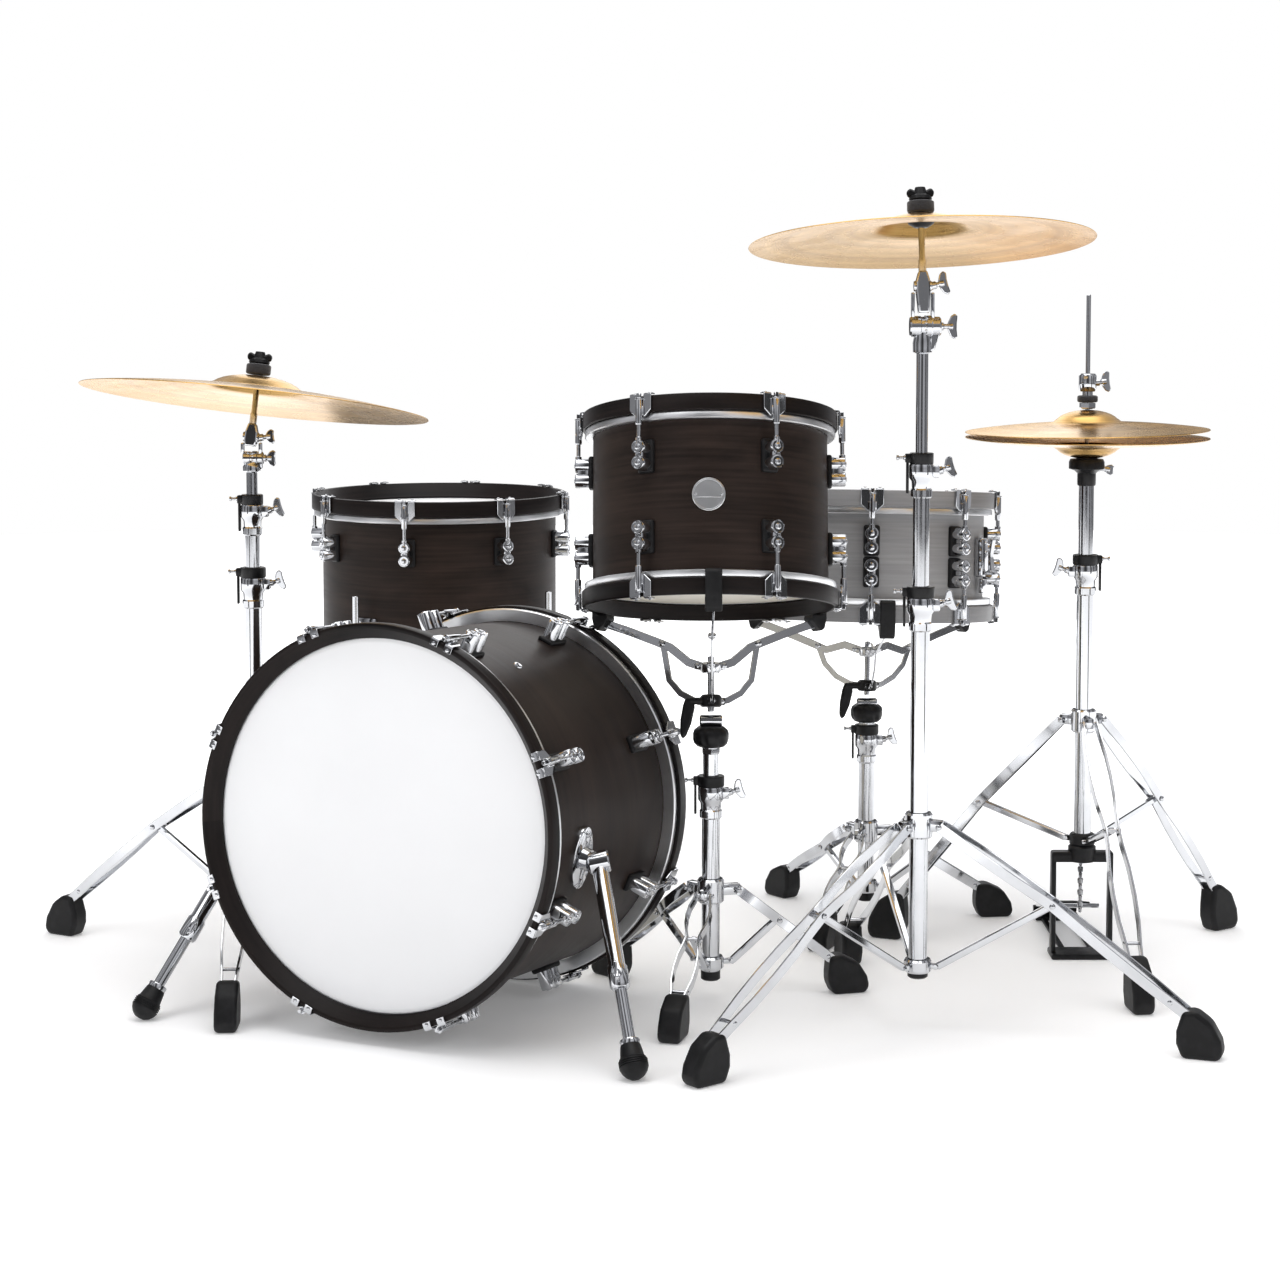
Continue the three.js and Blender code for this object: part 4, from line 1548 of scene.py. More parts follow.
# ---------- basket stands ----------
@dataclass
class BasketStand:
    """A drum stand: tubes, knob, and a three-armed basket under its drum.

    The basket's heights are measured from the tilt pivot.
    """

    name: str
    drum: Drum
    base_top: float
    pivot: float
    knob_below: float
    pivot_to_hub: float
    hub_to_drum: float
    turn: float = 0.0
    bottom: float = 34.0

    def build_tubes(self) -> None:
        """The lower tube, its clamp, and the sliding tube with its knob."""
        n = f"{self.name}_stand"
        at = floor_frame(f"{n}_base_tube")
        slide = f"{n}_tube"
        base_tube(n, f"{n}_clamp", at, self.bottom, self.base_top)
        knob_z = self.pivot - self.knob_below
        fit(
            bar("tube", radius=MIDDLE_TUBE_R, low=self.base_top - TUBE_OVERLAP, high=knob_z + 4),
            CHROME,
            f"{n}_slide_pipe",
            at,
            slide,
            f"{n}_upper_tube",
        )
        fit(self.knob(), PLASTIC, f"{n}_knob", at @ shift(z=knob_z), slide)
        neck = turned(
            "neck",
            [(0, knob_z + 28), (9, knob_z + 28), (9, self.pivot - 16), (0, self.pivot - 16)],
            sides=28,
        )
        cradle = moved(
            turned("cradle", [(0, -16), (6.4, -16), (8, -14), (8, 14), (6.4, 16), (0, 16)], sides=30),
            shift(z=self.pivot - 7) @ spun(90, "Y"),
        )
        nut = turned(
            "nut",
            [(0, knob_z - 9), (12.8, knob_z - 9), (14, knob_z - 7), (14, knob_z - 1.5), (0, knob_z - 1)],
            sides=6,
        )
        fit(welded("cradle", neck, cradle, nut), CHROME, f"{n}_cradle", at, slide)

    def knob(self) -> bpy.types.Object:
        """The black hand knob, fluted in a spiral."""
        profile = [
            (0, 0), (13, 0), (19, 1.5), (23.5, 6), (25, 11), (25, 19), (23.5, 24), (18, 28.5), (11, 30),
            (0, 30),
        ]
        knob = turned("knob", profile, sides=48)
        for vertex in knob.data.vertices:
            x, y, z = vertex.co
            flute = max(0.0, math.cos(7 * math.atan2(y, x) + z * 0.09)) ** 3
            ease = 1 - 0.1 * flute * min(1.0, math.hypot(x, y) / 20)
            vertex.co = (x * ease, y * ease, z)
        return knob

    def arm(self, reach: float, seat: float) -> list[bpy.types.Object]:
        """One arm at +X: the bowed upper strip, its brace and their rivets.

        Args:
            reach: the radius of the hoop's side.
            seat: the height of the drum's lower edge.

        Returns:
            The arm's chrome shapes.
        """
        hub = self.pivot_to_hub
        elbow = (reach * 0.5, seat - 42)
        upper = strip(
            "upper",
            [
                (12, hub + 2), (reach * 0.2, hub + 10), (reach * 0.36, elbow[1] - 10), elbow,
                (reach * 0.72, seat - 27), (reach * 0.9, seat - 16), (reach + 1, seat - 11),
            ],
            thick=3.4,
            wide=12,
        )
        lower = strip(
            "lower",
            [
                (10, 20), (reach * 0.15, 22), (reach * 0.27, 33), (reach * 0.37, 52),
                (reach * 0.42, elbow[1] - 9), (reach * 0.43, elbow[1] - 3),
            ],
            thick=3.0,
            wide=9,
        )
        rivets = []
        for x, z in ((reach * 0.43, elbow[1] - 4), (20, hub + 4), (16, 20)):
            outline = [(0, -5.6), (2.8, -5.2), (4.2, -4), (4.2, 4), (2.8, 5.2), (0, 5.6)]
            rivets.append(moved(turned("rivet", outline, sides=14), shift(x, 0, z) @ spun(90, "X")))
        return [upper, lower, *rivets]

    def grip(self, reach: float, seat: float) -> bpy.types.Object:
        """The rubber grip that cups the hoop's edge."""
        outline = [
            (reach - 17, seat - 0.4), (reach - 0.4, seat - 0.4), (reach - 0.2, seat + 33),
            (reach + 3, seat + 35), (reach + 7, seat + 31), (reach + 7.5, seat - 6),
            (reach + 4, seat - 20), (reach - 2, seat - 24), (reach - 10, seat - 16),
            (reach - 18, seat - 8),
        ]
        return slab("grip", outline, depth=23, ease=1.8, segments=2)

    def build_basket(self) -> None:
        """The basket's hub, post, arms, grips and locking lever."""
        seat_z = self.pivot_to_hub + self.hub_to_drum
        at = self.drum.frame @ shift(z=-seat_z)
        reach = self.drum.hoop_r + GAP
        body = self.name
        arm = Pattern(welded("arm", *self.arm(reach, seat_z)), CHROME)
        grip = Pattern(self.grip(reach, seat_z), RUBBER)
        for k, turn in enumerate(BASKET_TURNS):
            there = at @ spun(turn + self.turn)
            arm.stamp(
                f"{self.name}_basket_arm_{k + 1}",
                there,
                body,
                *((f"{self.name}_basket",) if k == 0 else ()),
            )
            grip.stamp(f"{self.name}_basket_grip_{k + 1}", there, body)
        arm.discard()
        grip.discard()
        hub = self.pivot_to_hub
        ring = turned(
            "ring",
            [(5.6, hub - 7), (12, hub - 7), (14, hub - 4), (14, hub + 5), (11, hub + 8), (5.6, hub + 8)],
            sides=36,
        )
        ears = [
            moved(block("ear", (18, 9, 9), (15, 0, hub + 3), ease=2), spun(turn + self.turn))
            for turn in BASKET_TURNS
        ]
        fit(welded("hub", ring, *ears), CHROME, f"{self.name}_basket_hub", at, body)
        threads = [
            (5.0 - 0.5 * (k % 2), 4 + k * THREAD_PITCH)
            for k in range(1, int((hub + 6) / THREAD_PITCH))
        ]
        fit(
            turned("post", [(0, 4), *threads, (4.6, hub + 16), (0, hub + 17)], sides=20),
            CHROME,
            f"{self.name}_basket_post",
            at,
            body,
        )
        low = turned("low", [(5.4, 12), (13, 12), (15, 14), (15, 26), (12, 29), (5.4, 29)], sides=36)
        low_ears = [
            moved(block("ear", (15, 9, 10), (14, 0, 20), ease=2), spun(turn + self.turn))
            for turn in BASKET_TURNS
        ]
        lever = moved(
            slab(
                "lever",
                [(-6, 4), (6, 4), (9, -8), (8, -30), (4, -48), (0, -54), (-5, -48), (-8, -28), (-8, -8)],
                depth=9,
                ease=3.6,
                segments=3,
            ),
            shift(-30, -4, 20) @ spun(10, "Y"),
        )
        stalk = moved(
            bar("stalk", radius=5, low=-30, high=-8, sides=20), shift(0, -4, 20) @ spun(90, "Y")
        )
        fit(welded("lock", low, *low_ears, lever, stalk), PLASTIC, f"{self.name}_basket_lock", at, body)

    def build(self) -> None:
        """Builds the stand above its tripod."""
        self.build_tubes()
        self.build_basket()
        log.info("%s basket stand", self.name)


@dataclass
class ThrowOff:
    """The snare's throw-off, butt plate and wires."""

    drum: Drum
    turn: float = -26.0

    def build(self) -> None:
        """Builds the throw-off's housing and lever, the butt plate, and the wires."""
        drum, mid = self.drum, self.drum.total / 2
        r = drum.shell_r
        at = drum.frame @ spun(self.turn)
        housing = block(
            "housing", (drum.lip - 1, 26, 60), (r + drum.lip / 2 - 1, 0, mid), ease=3.4, segments=3
        )
        guide = block("guide", (8, 20, 22), (r + drum.lip - 6, 0, mid - 44), ease=2.2)
        screws = [
            moved(
                turned("screw", [(0, 0), (3.6, 0), (3.2, 2.2), (0, 2.8)], sides=16),
                shift(r + drum.lip - 2, 0, mid + dz) @ spun(90, "Y"),
            )
            for dz in (22, 8)
        ]
        fit(
            welded("throw_off", housing, guide, *screws),
            CHROME,
            f"{drum.name}_throw_off",
            at,
            drum.body,
        )
        face = drum.hoop_r + 4
        lever = slab(
            "lever",
            [
                (face + 0.2, mid - 31), (face + 7.8, mid - 30), (face + 6, mid - 14),
                (face + 4.4, mid + 6), (face + 7.8, mid + 28), (face + 4, mid + 30),
                (face + 0.2, mid + 8),
            ],
            depth=17,
            ease=1.6,
            segments=2,
        )
        pin = moved(
            turned(
                "pin",
                [(0, -13.5), (5.6, -13.5), (6.6, -12), (6.6, 12), (5.6, 13.5), (0, 13.5)],
                sides=24,
            ),
            shift(face + 4, 0, mid - 26) @ spun(90, "X"),
        )
        fit(
            welded("lever", lever, pin), CHROME, f"{drum.name}_lever_arm", at, "snare_lever",
            "snare_throw_lever",
        )
        butt = block(
            "butt", (drum.lip, 34, 40), (r + drum.lip / 2 - 1, 0, mid - 30), ease=3.0, segments=3
        )
        fit(butt, CHROME, f"{drum.name}_butt_plate", drum.frame @ spun(self.turn + 180), drum.body)
        wires_z = drum.proud - 5.2
        wires = [
            moved(
                bar("wire", radius=0.7, low=-r * 0.86, high=r * 0.86, sides=6, ease=0.1),
                shift(0, (k - (WIRES - 1) / 2) * WIRE_PITCH, wires_z) @ spun(90, "Y"),
            )
            for k in range(WIRES)
        ]
        ends = [
            block("end", (9, 44, 2.4), (s * r * 0.87, 0, wires_z), ease=0.7, segments=1)
            for s in (-1, 1)
        ]
        fit(welded("wires", *wires, *ends), CHROME, f"{drum.name}_wires", at, drum.body)
        log.info("%s throw-off and wires", drum.name)


@dataclass
class Spur:
    """A folding bass drum spur. Bench X points out of the shell, Z runs down the rod from its knuckle."""

    side: str
    bass: Drum
    turn: float
    along: float = 275.0
    stand_off: float = 27.0
    ball: float = 19.0
    rod: float = 8.0

    def build(self) -> None:
        """Builds the bracket on the shell and the leg with its rubber ball."""
        bass = self.bass
        knuckle = bass.frame @ spun(self.turn) @ shift(bass.shell_r + self.stand_off, 0, self.along)
        node = f"bass_spur_{self.side}"
        floor_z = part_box(node)[0].z
        ball_top = floor_z + 2 * self.ball / 1000
        corners = [Vector(v.co) for v in bpy.data.objects[node].data.vertices]
        low_corners = [corner for corner in corners if corner.z < ball_top]
        foot = sum(low_corners, Vector()) / len(low_corners)
        foot.z = floor_z + (self.ball + FLOOR_GAP) / 1000
        top = knuckle.translation
        length = (top - foot).length * 1000
        at = frame_at(top, foot - top, Vector((0, -1, 0)))
        plate = turned(
            "plate", [(0, -6), (26, -6), (26.5, -2), (26, 2.6), (22, 4.8), (0, 5.2)], sides=40
        )
        moved(plate, Matrix.Diagonal((1.6, 1, 1, 1)))
        plate = moved(plate, spun(90, "Y") @ spun(90))
        drum_at = bass.frame @ spun(self.turn) @ shift(bass.shell_r, 0, self.along)
        post = moved(
            turned("post", [(0, 2), (17, 2), (15, 8), (13, 14), (0, 14)], sides=32), spun(90, "Y")
        )
        bolts = [
            moved(
                turned("bolt", [(0, 3), (4.2, 3), (4, 6.4), (0, 7)], sides=14),
                shift(0, s * 32) @ spun(90, "Y"),
            )
            for s in (-1, 1)
        ]
        fit(welded("bracket", plate, post, *bolts), CHROME, f"{node}_bracket", drum_at, "kit_base")
        hub = moved(
            turned("hub", [(0, -14), (13, -14), (15, -12), (15, 12), (13, 14), (0, 14)], sides=32),
            spun(90, "X"),
        )
        sleeve = turned(
            "sleeve",
            [
                (0, 8), (10, 8), (11, 10), (11, length * 0.52), (13, length * 0.53),
                (13.4, length * 0.62), (11, length * 0.635), (0, length * 0.635),
            ],
            sides=30,
        )
        screw = moved(wing_screw(length=14, span=14), shift(11, 0, length * 0.575))
        thin = bar("rod", radius=self.rod, low=length * 0.6, high=length - 14, sides=24)
        nut = turned(
            "nut",
            [
                (self.rod, length - 33), (12.6, length - 33), (13.2, length - 31.5),
                (12.6, length - 26.6), (self.rod, length - 26.6),
            ],
            sides=28,
        )
        fit(
            welded("leg", hub, sleeve, screw, thin, nut),
            CHROME,
            f"{node}_leg",
            at,
            f"spur_{self.side}",
            node,
        )
        ball = self.ball
        rings = [
            (0, -ball), (7, -ball + 0.9), (12.6, -ball + 4.6), (16.4, -ball + 9.4), (18.2, -ball + 13.6)
        ]
        for k in range(4):
            rings += [
                (ball, -3.6 + 2.7 * k), (ball - 0.2, -2.4 + 2.7 * k), (ball - 1.6, -2.0 + 2.7 * k),
                (ball - 1.6, -1.1 + 2.7 * k),
            ]
        rings += [(ball - 1.4, 8.0), (ball - 3.2, 10.0), (13.2, 25), (12.2, 27), (0, 27)]
        ball_at = frame_at(foot, top - foot, Vector((0, -1, 0)))
        fit(turned("ball", rings, sides=40), RUBBER, f"{node}_ball", ball_at, f"spur_{self.side}")
        log.info("spur %s", self.side)


@dataclass
class FloorTomLeg:
    """A floor tom leg with its bracket and rubber tip."""

    number: int
    drum: Drum
    radius: float = 5.2

    def build(self) -> None:
        """Builds the bracket, the leg and the tip."""
        node = f"floor_tom_leg_{self.number}"
        at = floor_frame(node)
        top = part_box(node)[1].z * 1000
        drum = self.drum
        inner = drum.frame.inverted() @ at.translation
        turn = math.degrees(math.atan2(inner.y, inner.x))
        reach = math.hypot(inner.x, inner.y)
        straight = bar("leg", radius=self.radius, low=24, high=top, sides=24)
        fit(straight, CHROME, f"{node}_rod", at, node, node)
        tip = turned(
            "tip",
            [
                (0, 0), (9.6, 0), (12, 2.2), (12, 9), (10.6, 11), (11.6, 13), (10.4, 15), (11, 17),
                (9.6, 20), (9.2, 29), (7.6, 33), (0, 34),
            ],
            sides=32,
        )
        fit(tip, RUBBER, f"{node}_tip", at, node)
        there = drum.frame @ spun(turn)
        out = drum.shell_r
        mid = drum.total / 2
        plate = block("plate", (6, 44, 74), (out + 1.4, 0, mid), ease=2.4, segments=2)
        arm = block(
            "arm", (reach - out - 4, 19, 34), (out + (reach - out) / 2, 0, mid), ease=2.6, segments=2
        )
        eye = moved(
            turned(
                "eye",
                [
                    (self.radius + 0.5, -21), (12, -21), (13.6, -19), (13.6, 19), (12, 21),
                    (self.radius + 0.5, 21),
                ],
                sides=32,
            ),
            shift(reach, 0, mid),
        )
        screw = moved(wing_screw(length=16, span=17), shift(reach, 12, mid + 3) @ spun(90))
        bolts = [
            moved(
                turned("bolt", [(0, 0), (4.2, 0), (3.8, 2.6), (0, 3)], sides=14),
                shift(out + 4.2, s * 13, mid + t * 27) @ spun(90, "Y"),
            )
            for s in (-1, 1)
            for t in (-1, 1)
        ]
        fit(
            welded("bracket", plate, arm, eye, screw, *bolts),
            CHROME,
            f"{node}_bracket",
            there,
            drum.body,
        )
        log.info("floor tom leg %d", self.number)


# ---------- hi-hat ----------
@dataclass
class HiHat:
    """The hi-hat: frame, pedal, chain, tubes, seat, clutch and its two cymbals. Sizes are from the floor."""

    base_top: float = 604.0
    tube_bottom: float = 171.0
    tube_top: float = 728.0
    rod_low: float = 144.0
    rod_top: float = 987.0
    foot_heel: tuple[float, float] = (262.0, 20.0)
    foot_toe: tuple[float, float] = (34.0, 70.0)
    cymbal: Cymbal = field(default_factory=lambda: Cymbal(radius=178, bow=12, bell=18))

    def build_frame(self) -> None:
        """The floor frame with its bridge and posts."""
        at = floor_frame("hihat_upper_tube")
        base = block("base", (92, 48, 9), (0, 4, 4.6), ease=2.6, segments=2)
        posts = [block("post", (7, 20, 148), (s * 42.3, 0, 82), ease=2.0, segments=2) for s in (-1, 1)]
        bridge = block("bridge", (92, 22, 16), (0, 0, 153), ease=4.0, segments=3)
        socket = turned(
            "socket",
            [(13.2, 146), (19, 146), (20.5, 148), (20.5, 168), (17, 171), (13.2, 171)],
            sides=36,
        )
        fit(
            welded("frame", base, *posts, bridge),
            PLASTIC,
            "hihat_floor_frame",
            at,
            "kit_base",
            "hihat_frame",
        )
        fit(socket, PLASTIC, "hihat_frame_socket", at, "kit_base")

    def build_pedal(self) -> None:
        """The footboard with its heel plate, rubber treads and the chain up to the rod."""
        at = floor_frame("hihat_upper_tube")
        (hy, hz), (ty, tz) = self.foot_heel, self.foot_toe
        length = math.hypot(ty - hy, tz - hz)
        lean = math.degrees(math.atan2(tz - hz, hy - ty))
        mid_y, mid_z = (hy + ty) / 2, (hz + tz) / 2
        board_at = at @ shift(0, mid_y, mid_z) @ spun(-lean, "X")
        half = length / 2
        board = slab(
            "board",
            [
                (-33, half - 1), (33, half - 1), (41, half * 0.4), (41, -half * 0.3),
                (34, -half * 0.75), (24, -half + 1), (-24, -half + 1), (-34, -half * 0.75),
                (-41, -half * 0.3), (-41, half * 0.4),
            ],
            depth=6.6,
            ease=1.4,
            segments=2,
        )
        moved(board, spun(-90, "X"))
        moved(board, Matrix.Diagonal((1, -1, 1, 1)))
        board.data.flip_normals()
        treads = [
            block(
                "tread",
                (56 - 8 * abs(k - 3) / 3, 9, 3),
                (0, -half * 0.68 + k * 25, 4.0),
                ease=1.0,
                segments=1,
            )
            for k in range(7)
        ]
        fit(board, CHROME, "hihat_footboard_plate", board_at, "hihat_pedal", "hihat_footboard")
        fit(welded("treads", *treads), RUBBER, "hihat_footboard_treads", board_at, "hihat_pedal")
        heel = block("heel", (70, 46, 7), (0, hy - 14, 4.2), ease=2.4, segments=2)
        hinge = moved(
            turned("hinge", [(0, -34), (5.4, -34), (5.4, 34), (0, 34)], sides=20),
            shift(0, hy - 1, 13) @ spun(90, "Y"),
        )
        rails = [
            block("rail", (9, hy - 20, 5), (s * 22, (hy - 20) / 2 + 4, 3.2), ease=1.4, segments=1)
            for s in (-1, 1)
        ]
        fit(welded("heel", heel, hinge, *rails), PLASTIC, "hihat_heel_plate", at, "kit_base")
        links = []
        for k in range(CHAIN_LINKS):
            size = (8.6, 5.2, 9.4) if k % 2 else (5.2, 8.6, 9.4)
            links.append(block("link", size, (0, 12, 70 + k * LINK_PITCH), ease=1.6, segments=1))
        hook = block("hook", (12, 20, 8), (0, 6, 146), ease=2.0, segments=1)
        fit(welded("chain", *links, hook), CHROME, "hihat_chain", at, "hihat_rod")

    def build_tubes(self) -> None:
        """The lower tube, its clamp, the upper tube and the pull rod."""
        at = floor_frame("hihat_upper_tube")
        fit(
            pipe(
                "tube",
                outer=BASE_TUBE_R,
                inner=MIDDLE_TUBE_R + 0.3,
                low=self.tube_bottom,
                high=self.base_top - CLAMP_OVER_TUBE,
            ),
            CHROME,
            "hihat_lower_pipe",
            at,
            "kit_base",
        )
        TubeClamp(tube_r=BASE_TUBE_R, top_r=MIDDLE_TUBE_R, side=-1.0).build(
            "hihat_clamp", at @ shift(z=self.base_top), "kit_base"
        )
        fit(
            pipe(
                "tube",
                outer=MIDDLE_TUBE_R,
                inner=5.0,
                low=self.base_top - TUBE_OVERLAP,
                high=self.tube_top - 2,
            ),
            CHROME,
            "hihat_upper_pipe",
            at,
            "hihat_tube",
            "hihat_upper_tube",
        )
        fit(
            bar("rod", radius=3.4, low=self.rod_low, high=self.rod_top, sides=16, ease=1.6),
            CHROME,
            "hihat_rod_bar",
            at,
            "hihat_rod",
            "hihat_pull_rod",
        )

    def build_seat(self) -> None:
        """The seat cup with its tilt screw, and the lower cymbal."""
        at = floor_frame("hihat_upper_tube")
        low = self.tube_top
        sleeve = turned(
            "sleeve",
            [
                (5.0, low - 22), (12.6, low - 22), (13.6, low - 20), (13.6, low - 4), (18, low),
                (26, low + 3), (26, low + 13), (24, low + 17), (5.0, low + 17),
            ],
            sides=40,
        )
        fit(sleeve, PLASTIC, "hihat_seat_cup", at, "hihat_tube")
        screw = moved(wing_screw(length=20, span=8), shift(14, 0, low + 4) @ spun(8, "Y"))
        coils = [
            moved(
                turned("coil", [(3.4, -0.7), (4.8, -0.7), (4.8, 0.7), (3.4, 0.7)], sides=14),
                shift(17 + k * 2.1, 0, low + 4) @ spun(90, "Y"),
            )
            for k in range(5)
        ]
        fit(welded("tilt_screw", screw, *coils), CHROME, "hihat_tilt_screw", at, "hihat_tube")
        fit(
            felt_washer("felt", radius=16, hole=4.6, tall=9),
            FELT,
            "hihat_lower_felt",
            at @ shift(z=low + 17),
            "hihat_tube",
        )
        flipped = self.cymbal.shape()
        moved(flipped, spun(180, "X"))
        fit(
            flipped,
            BRONZE,
            "hihat_lower_plate",
            plate_frame("hihat_cymbal_bottom", True),
            "hihat_tube",
            "hihat_cymbal_bottom",
        )

    def build_clutch(self) -> None:
        """The clutch with its felts and wing screw, and the upper cymbal."""
        at = floor_frame("hihat_upper_tube")
        low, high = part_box("hihat_clutch")
        z0, z1 = low.z * 1000, high.z * 1000
        hex_nut = turned(
            "nut",
            [(4.6, z0 + 1), (11, z0 + 1), (12.5, z0 + 2.4), (12.5, z0 + 9), (4.6, z0 + 9)],
            sides=6,
        )
        stem = turned("stem", [(3.7, z0), (7.6, z0), (7.6, z1 - 12), (3.7, z1 - 12)], sides=22)
        top = turned(
            "top",
            [(3.7, z1 - 26), (11, z1 - 26), (13, z1 - 23), (13, z1 - 3), (11, z1), (3.7, z1)],
            sides=30,
        )
        screw = moved(wing_screw(length=15, span=16), shift(12, 0, z1 - 13) @ spun(-6, "Y"))
        fit(
            welded("clutch", hex_nut, stem, top, screw),
            CHROME,
            "hihat_clutch_body",
            at,
            "hihat_top",
            "hihat_clutch",
        )
        fit(
            felt_washer("felt", radius=15, hole=8, tall=10),
            FELT,
            "hihat_clutch_felt",
            at @ shift(z=z0 + 10),
            "hihat_top",
        )
        fit(
            self.cymbal.shape(),
            BRONZE,
            "hihat_upper_plate",
            plate_frame("hihat_cymbal_top"),
            "hihat_top",
            "hihat_cymbal_top",
        )

    def build(self) -> None:
        """Builds the whole hi-hat above its tripod."""
        self.build_frame()
        self.build_pedal()
        self.build_tubes()
        self.build_seat()
        self.build_clutch()
        log.info("hi-hat, pedal and cymbals")


# ---------- studio ----------
@dataclass
class Studio:
    """A white room: pale floor with a painted glow, soft lamps, dark cards for the chrome, and the camera.
    """

    place: tuple[float, float, float] = (0.0063, -4.122, 1.012)
    pitch: float = 4.47
    lens: float = 76.7
    shift_x: float = -0.0066
    shift_y: float = -0.117

    def build_world(self) -> None:
        world = bpy.data.worlds.new("studio")
        bpy.context.scene.world = world
        world.use_nodes = True
        tree = world.node_tree
        tree.nodes.clear()
        output = tree.nodes.new("ShaderNodeOutputWorld")
        mix = tree.nodes.new("ShaderNodeMixShader")
        path = tree.nodes.new("ShaderNodeLightPath")
        white, sky = tree.nodes.new("ShaderNodeBackground"), tree.nodes.new("ShaderNodeBackground")
        white.inputs["Color"].default_value = (1, 1, 1, 1)
        white.inputs["Strength"].default_value = 1.0
        where = tree.nodes.new("ShaderNodeTexCoord")
        split = tree.nodes.new("ShaderNodeSeparateXYZ")
        spread = tree.nodes.new("ShaderNodeMapRange")
        spread.inputs["From Min"].default_value = -1.0
        around = tree.nodes.new("ShaderNodeTexGradient")
        around.gradient_type = "RADIAL"
        tree.links.new(where.outputs["Generated"], split.inputs["Vector"])
        tree.links.new(where.outputs["Generated"], around.inputs["Vector"])
        tree.links.new(split.outputs["Z"], spread.inputs["Value"])
        product = tree.nodes.new("ShaderNodeMixRGB")
        product.blend_type = "MULTIPLY"
        product.inputs["Fac"].default_value = 1.0
        heights = (
            (0.0, 0.3), (0.44, 0.45), (0.5, 0.8), (0.6, 0.6), (0.72, 1.0), (0.9, 1.0), (1.0, 0.6)
        )
        turns = (
            (0.0, 0.9), (0.035, 0.08), (0.075, 0.75), (0.14, 1.0), (0.21, 0.1), (0.25, 0.1), (0.3, 1.0),
            (0.42, 0.75), (0.465, 0.1), (0.5, 0.9), (0.56, 0.06), (0.64, 1.0), (0.7, 0.9),
            (0.735, 0.06), (0.765, 0.06), (0.8, 1.0), (0.92, 0.1), (1.0, 0.9),
        )
        for bands, driver, socket in (
            (heights, spread.outputs["Result"], 1), (turns, around.outputs["Fac"], 2)
        ):
            ramp = tree.nodes.new("ShaderNodeValToRGB")
            stops = ramp.color_ramp.elements
            while len(stops) < len(bands):
                stops.new(0.5)
            for stop, (spot, grey) in zip(stops, bands):
                stop.position = spot
                stop.color = (grey, grey, grey * 1.02, 1)
            tree.links.new(driver, ramp.inputs["Fac"])
            tree.links.new(ramp.outputs["Color"], product.inputs[socket])
        tree.links.new(product.outputs["Color"], sky.inputs["Color"])
        sky.inputs["Strength"].default_value = 0.8
        tree.links.new(path.outputs["Is Camera Ray"], mix.inputs["Fac"])
        tree.links.new(sky.outputs["Background"], mix.inputs[1])
        tree.links.new(white.outputs["Background"], mix.inputs[2])
        tree.links.new(mix.outputs["Shader"], output.inputs["Surface"])

    def lamp(
        self,
        name: str,
        at: tuple[float, float, float],
        size: float,
        power: float,
        mirrored: bool = True,
    ) -> None:
        """Args:
            name: the lamp's name.
            at: where it hangs.
            size: its side in metres.
            power: its power in watts.
            mirrored: whether reflections show it.
        """
        data = bpy.data.lights.new(name, "AREA")
        data.energy = power
        data.size = size
        lamp = bpy.data.objects.new(name, data)
        lamp.location = at
        lamp.visible_glossy = mirrored
        lamp.rotation_euler = (Vector((0, 0, 0.5)) - Vector(at)).to_track_quat("-Z", "Y").to_euler()
        bpy.context.scene.collection.objects.link(lamp)

    def card(
        self, name: str, at: tuple[float, float, float], size: tuple[float, float], grey: float
    ) -> None:
        """A tall card that only reflections see.

        Args:
            name: the card's name.
            at: the middle of the card.
            size: its width and height.
            grey: how pale it is.
        """
        fresh()
        bpy.ops.mesh.primitive_plane_add(size=1)
        card = bpy.context.object
        card.name = name
        card.data.transform(Matrix.Diagonal((size[0], size[1], 1, 1)))
        turn = (Vector((0, 0, 0.6)) - Vector(at)).to_track_quat("Z", "Y").to_matrix().to_4x4()
        card.data.transform(Matrix.Translation(at) @ turn)
        recipe = Recipe(name)
        recipe.set(Base_Color=(grey, grey, grey, 1), Roughness=0.9)
        card.data.materials.append(recipe.material)
        card.visible_camera = False
        card.visible_shadow = False

    def floor(self) -> None:
        """The pale floor. Its emission is painted light: it glows dimly near the kit and brightly farther
        out, so the floor fades into the white background.
        """
        fresh()
        bpy.ops.mesh.primitive_circle_add(vertices=96, radius=7, fill_type="NGON")
        floor = bpy.context.object
        floor.name = "studio_floor"
        recipe = Recipe("studio_floor")
        recipe.set(Base_Color=(0.9, 0.9, 0.9, 1), Roughness=0.75, Specular_IOR_Level=0.1)
        # Painted light: the floor glows by emission, more strongly the farther it is from the middle.
        recipe.set(Emission_Color=(1, 1, 1, 1))
        reach = recipe.node("VectorMath", operation="LENGTH")
        recipe.link(recipe.mapped("Object", (1.0, 1.0, 1.0)), reach.inputs[0])
        painted_floor_glow = recipe.node("MapRange", From_Min=0.7, From_Max=2.6, To_Min=0.16, To_Max=1.1)
        recipe.link(reach.outputs["Value"], painted_floor_glow.inputs["Value"])
        recipe.link(painted_floor_glow.outputs["Result"], recipe.shader.inputs["Emission Strength"])
        floor.data.materials.append(recipe.material)

    def camera(self) -> None:
        data = bpy.data.cameras.new("front")
        data.lens = self.lens
        data.sensor_width = 36
        data.shift_x, data.shift_y = self.shift_x, self.shift_y
        camera = bpy.data.objects.new("front", data)
        camera.location = self.place
        camera.rotation_euler = (math.radians(90 - self.pitch), 0, 0)
        bpy.context.scene.collection.objects.link(camera)
        bpy.context.scene.camera = camera

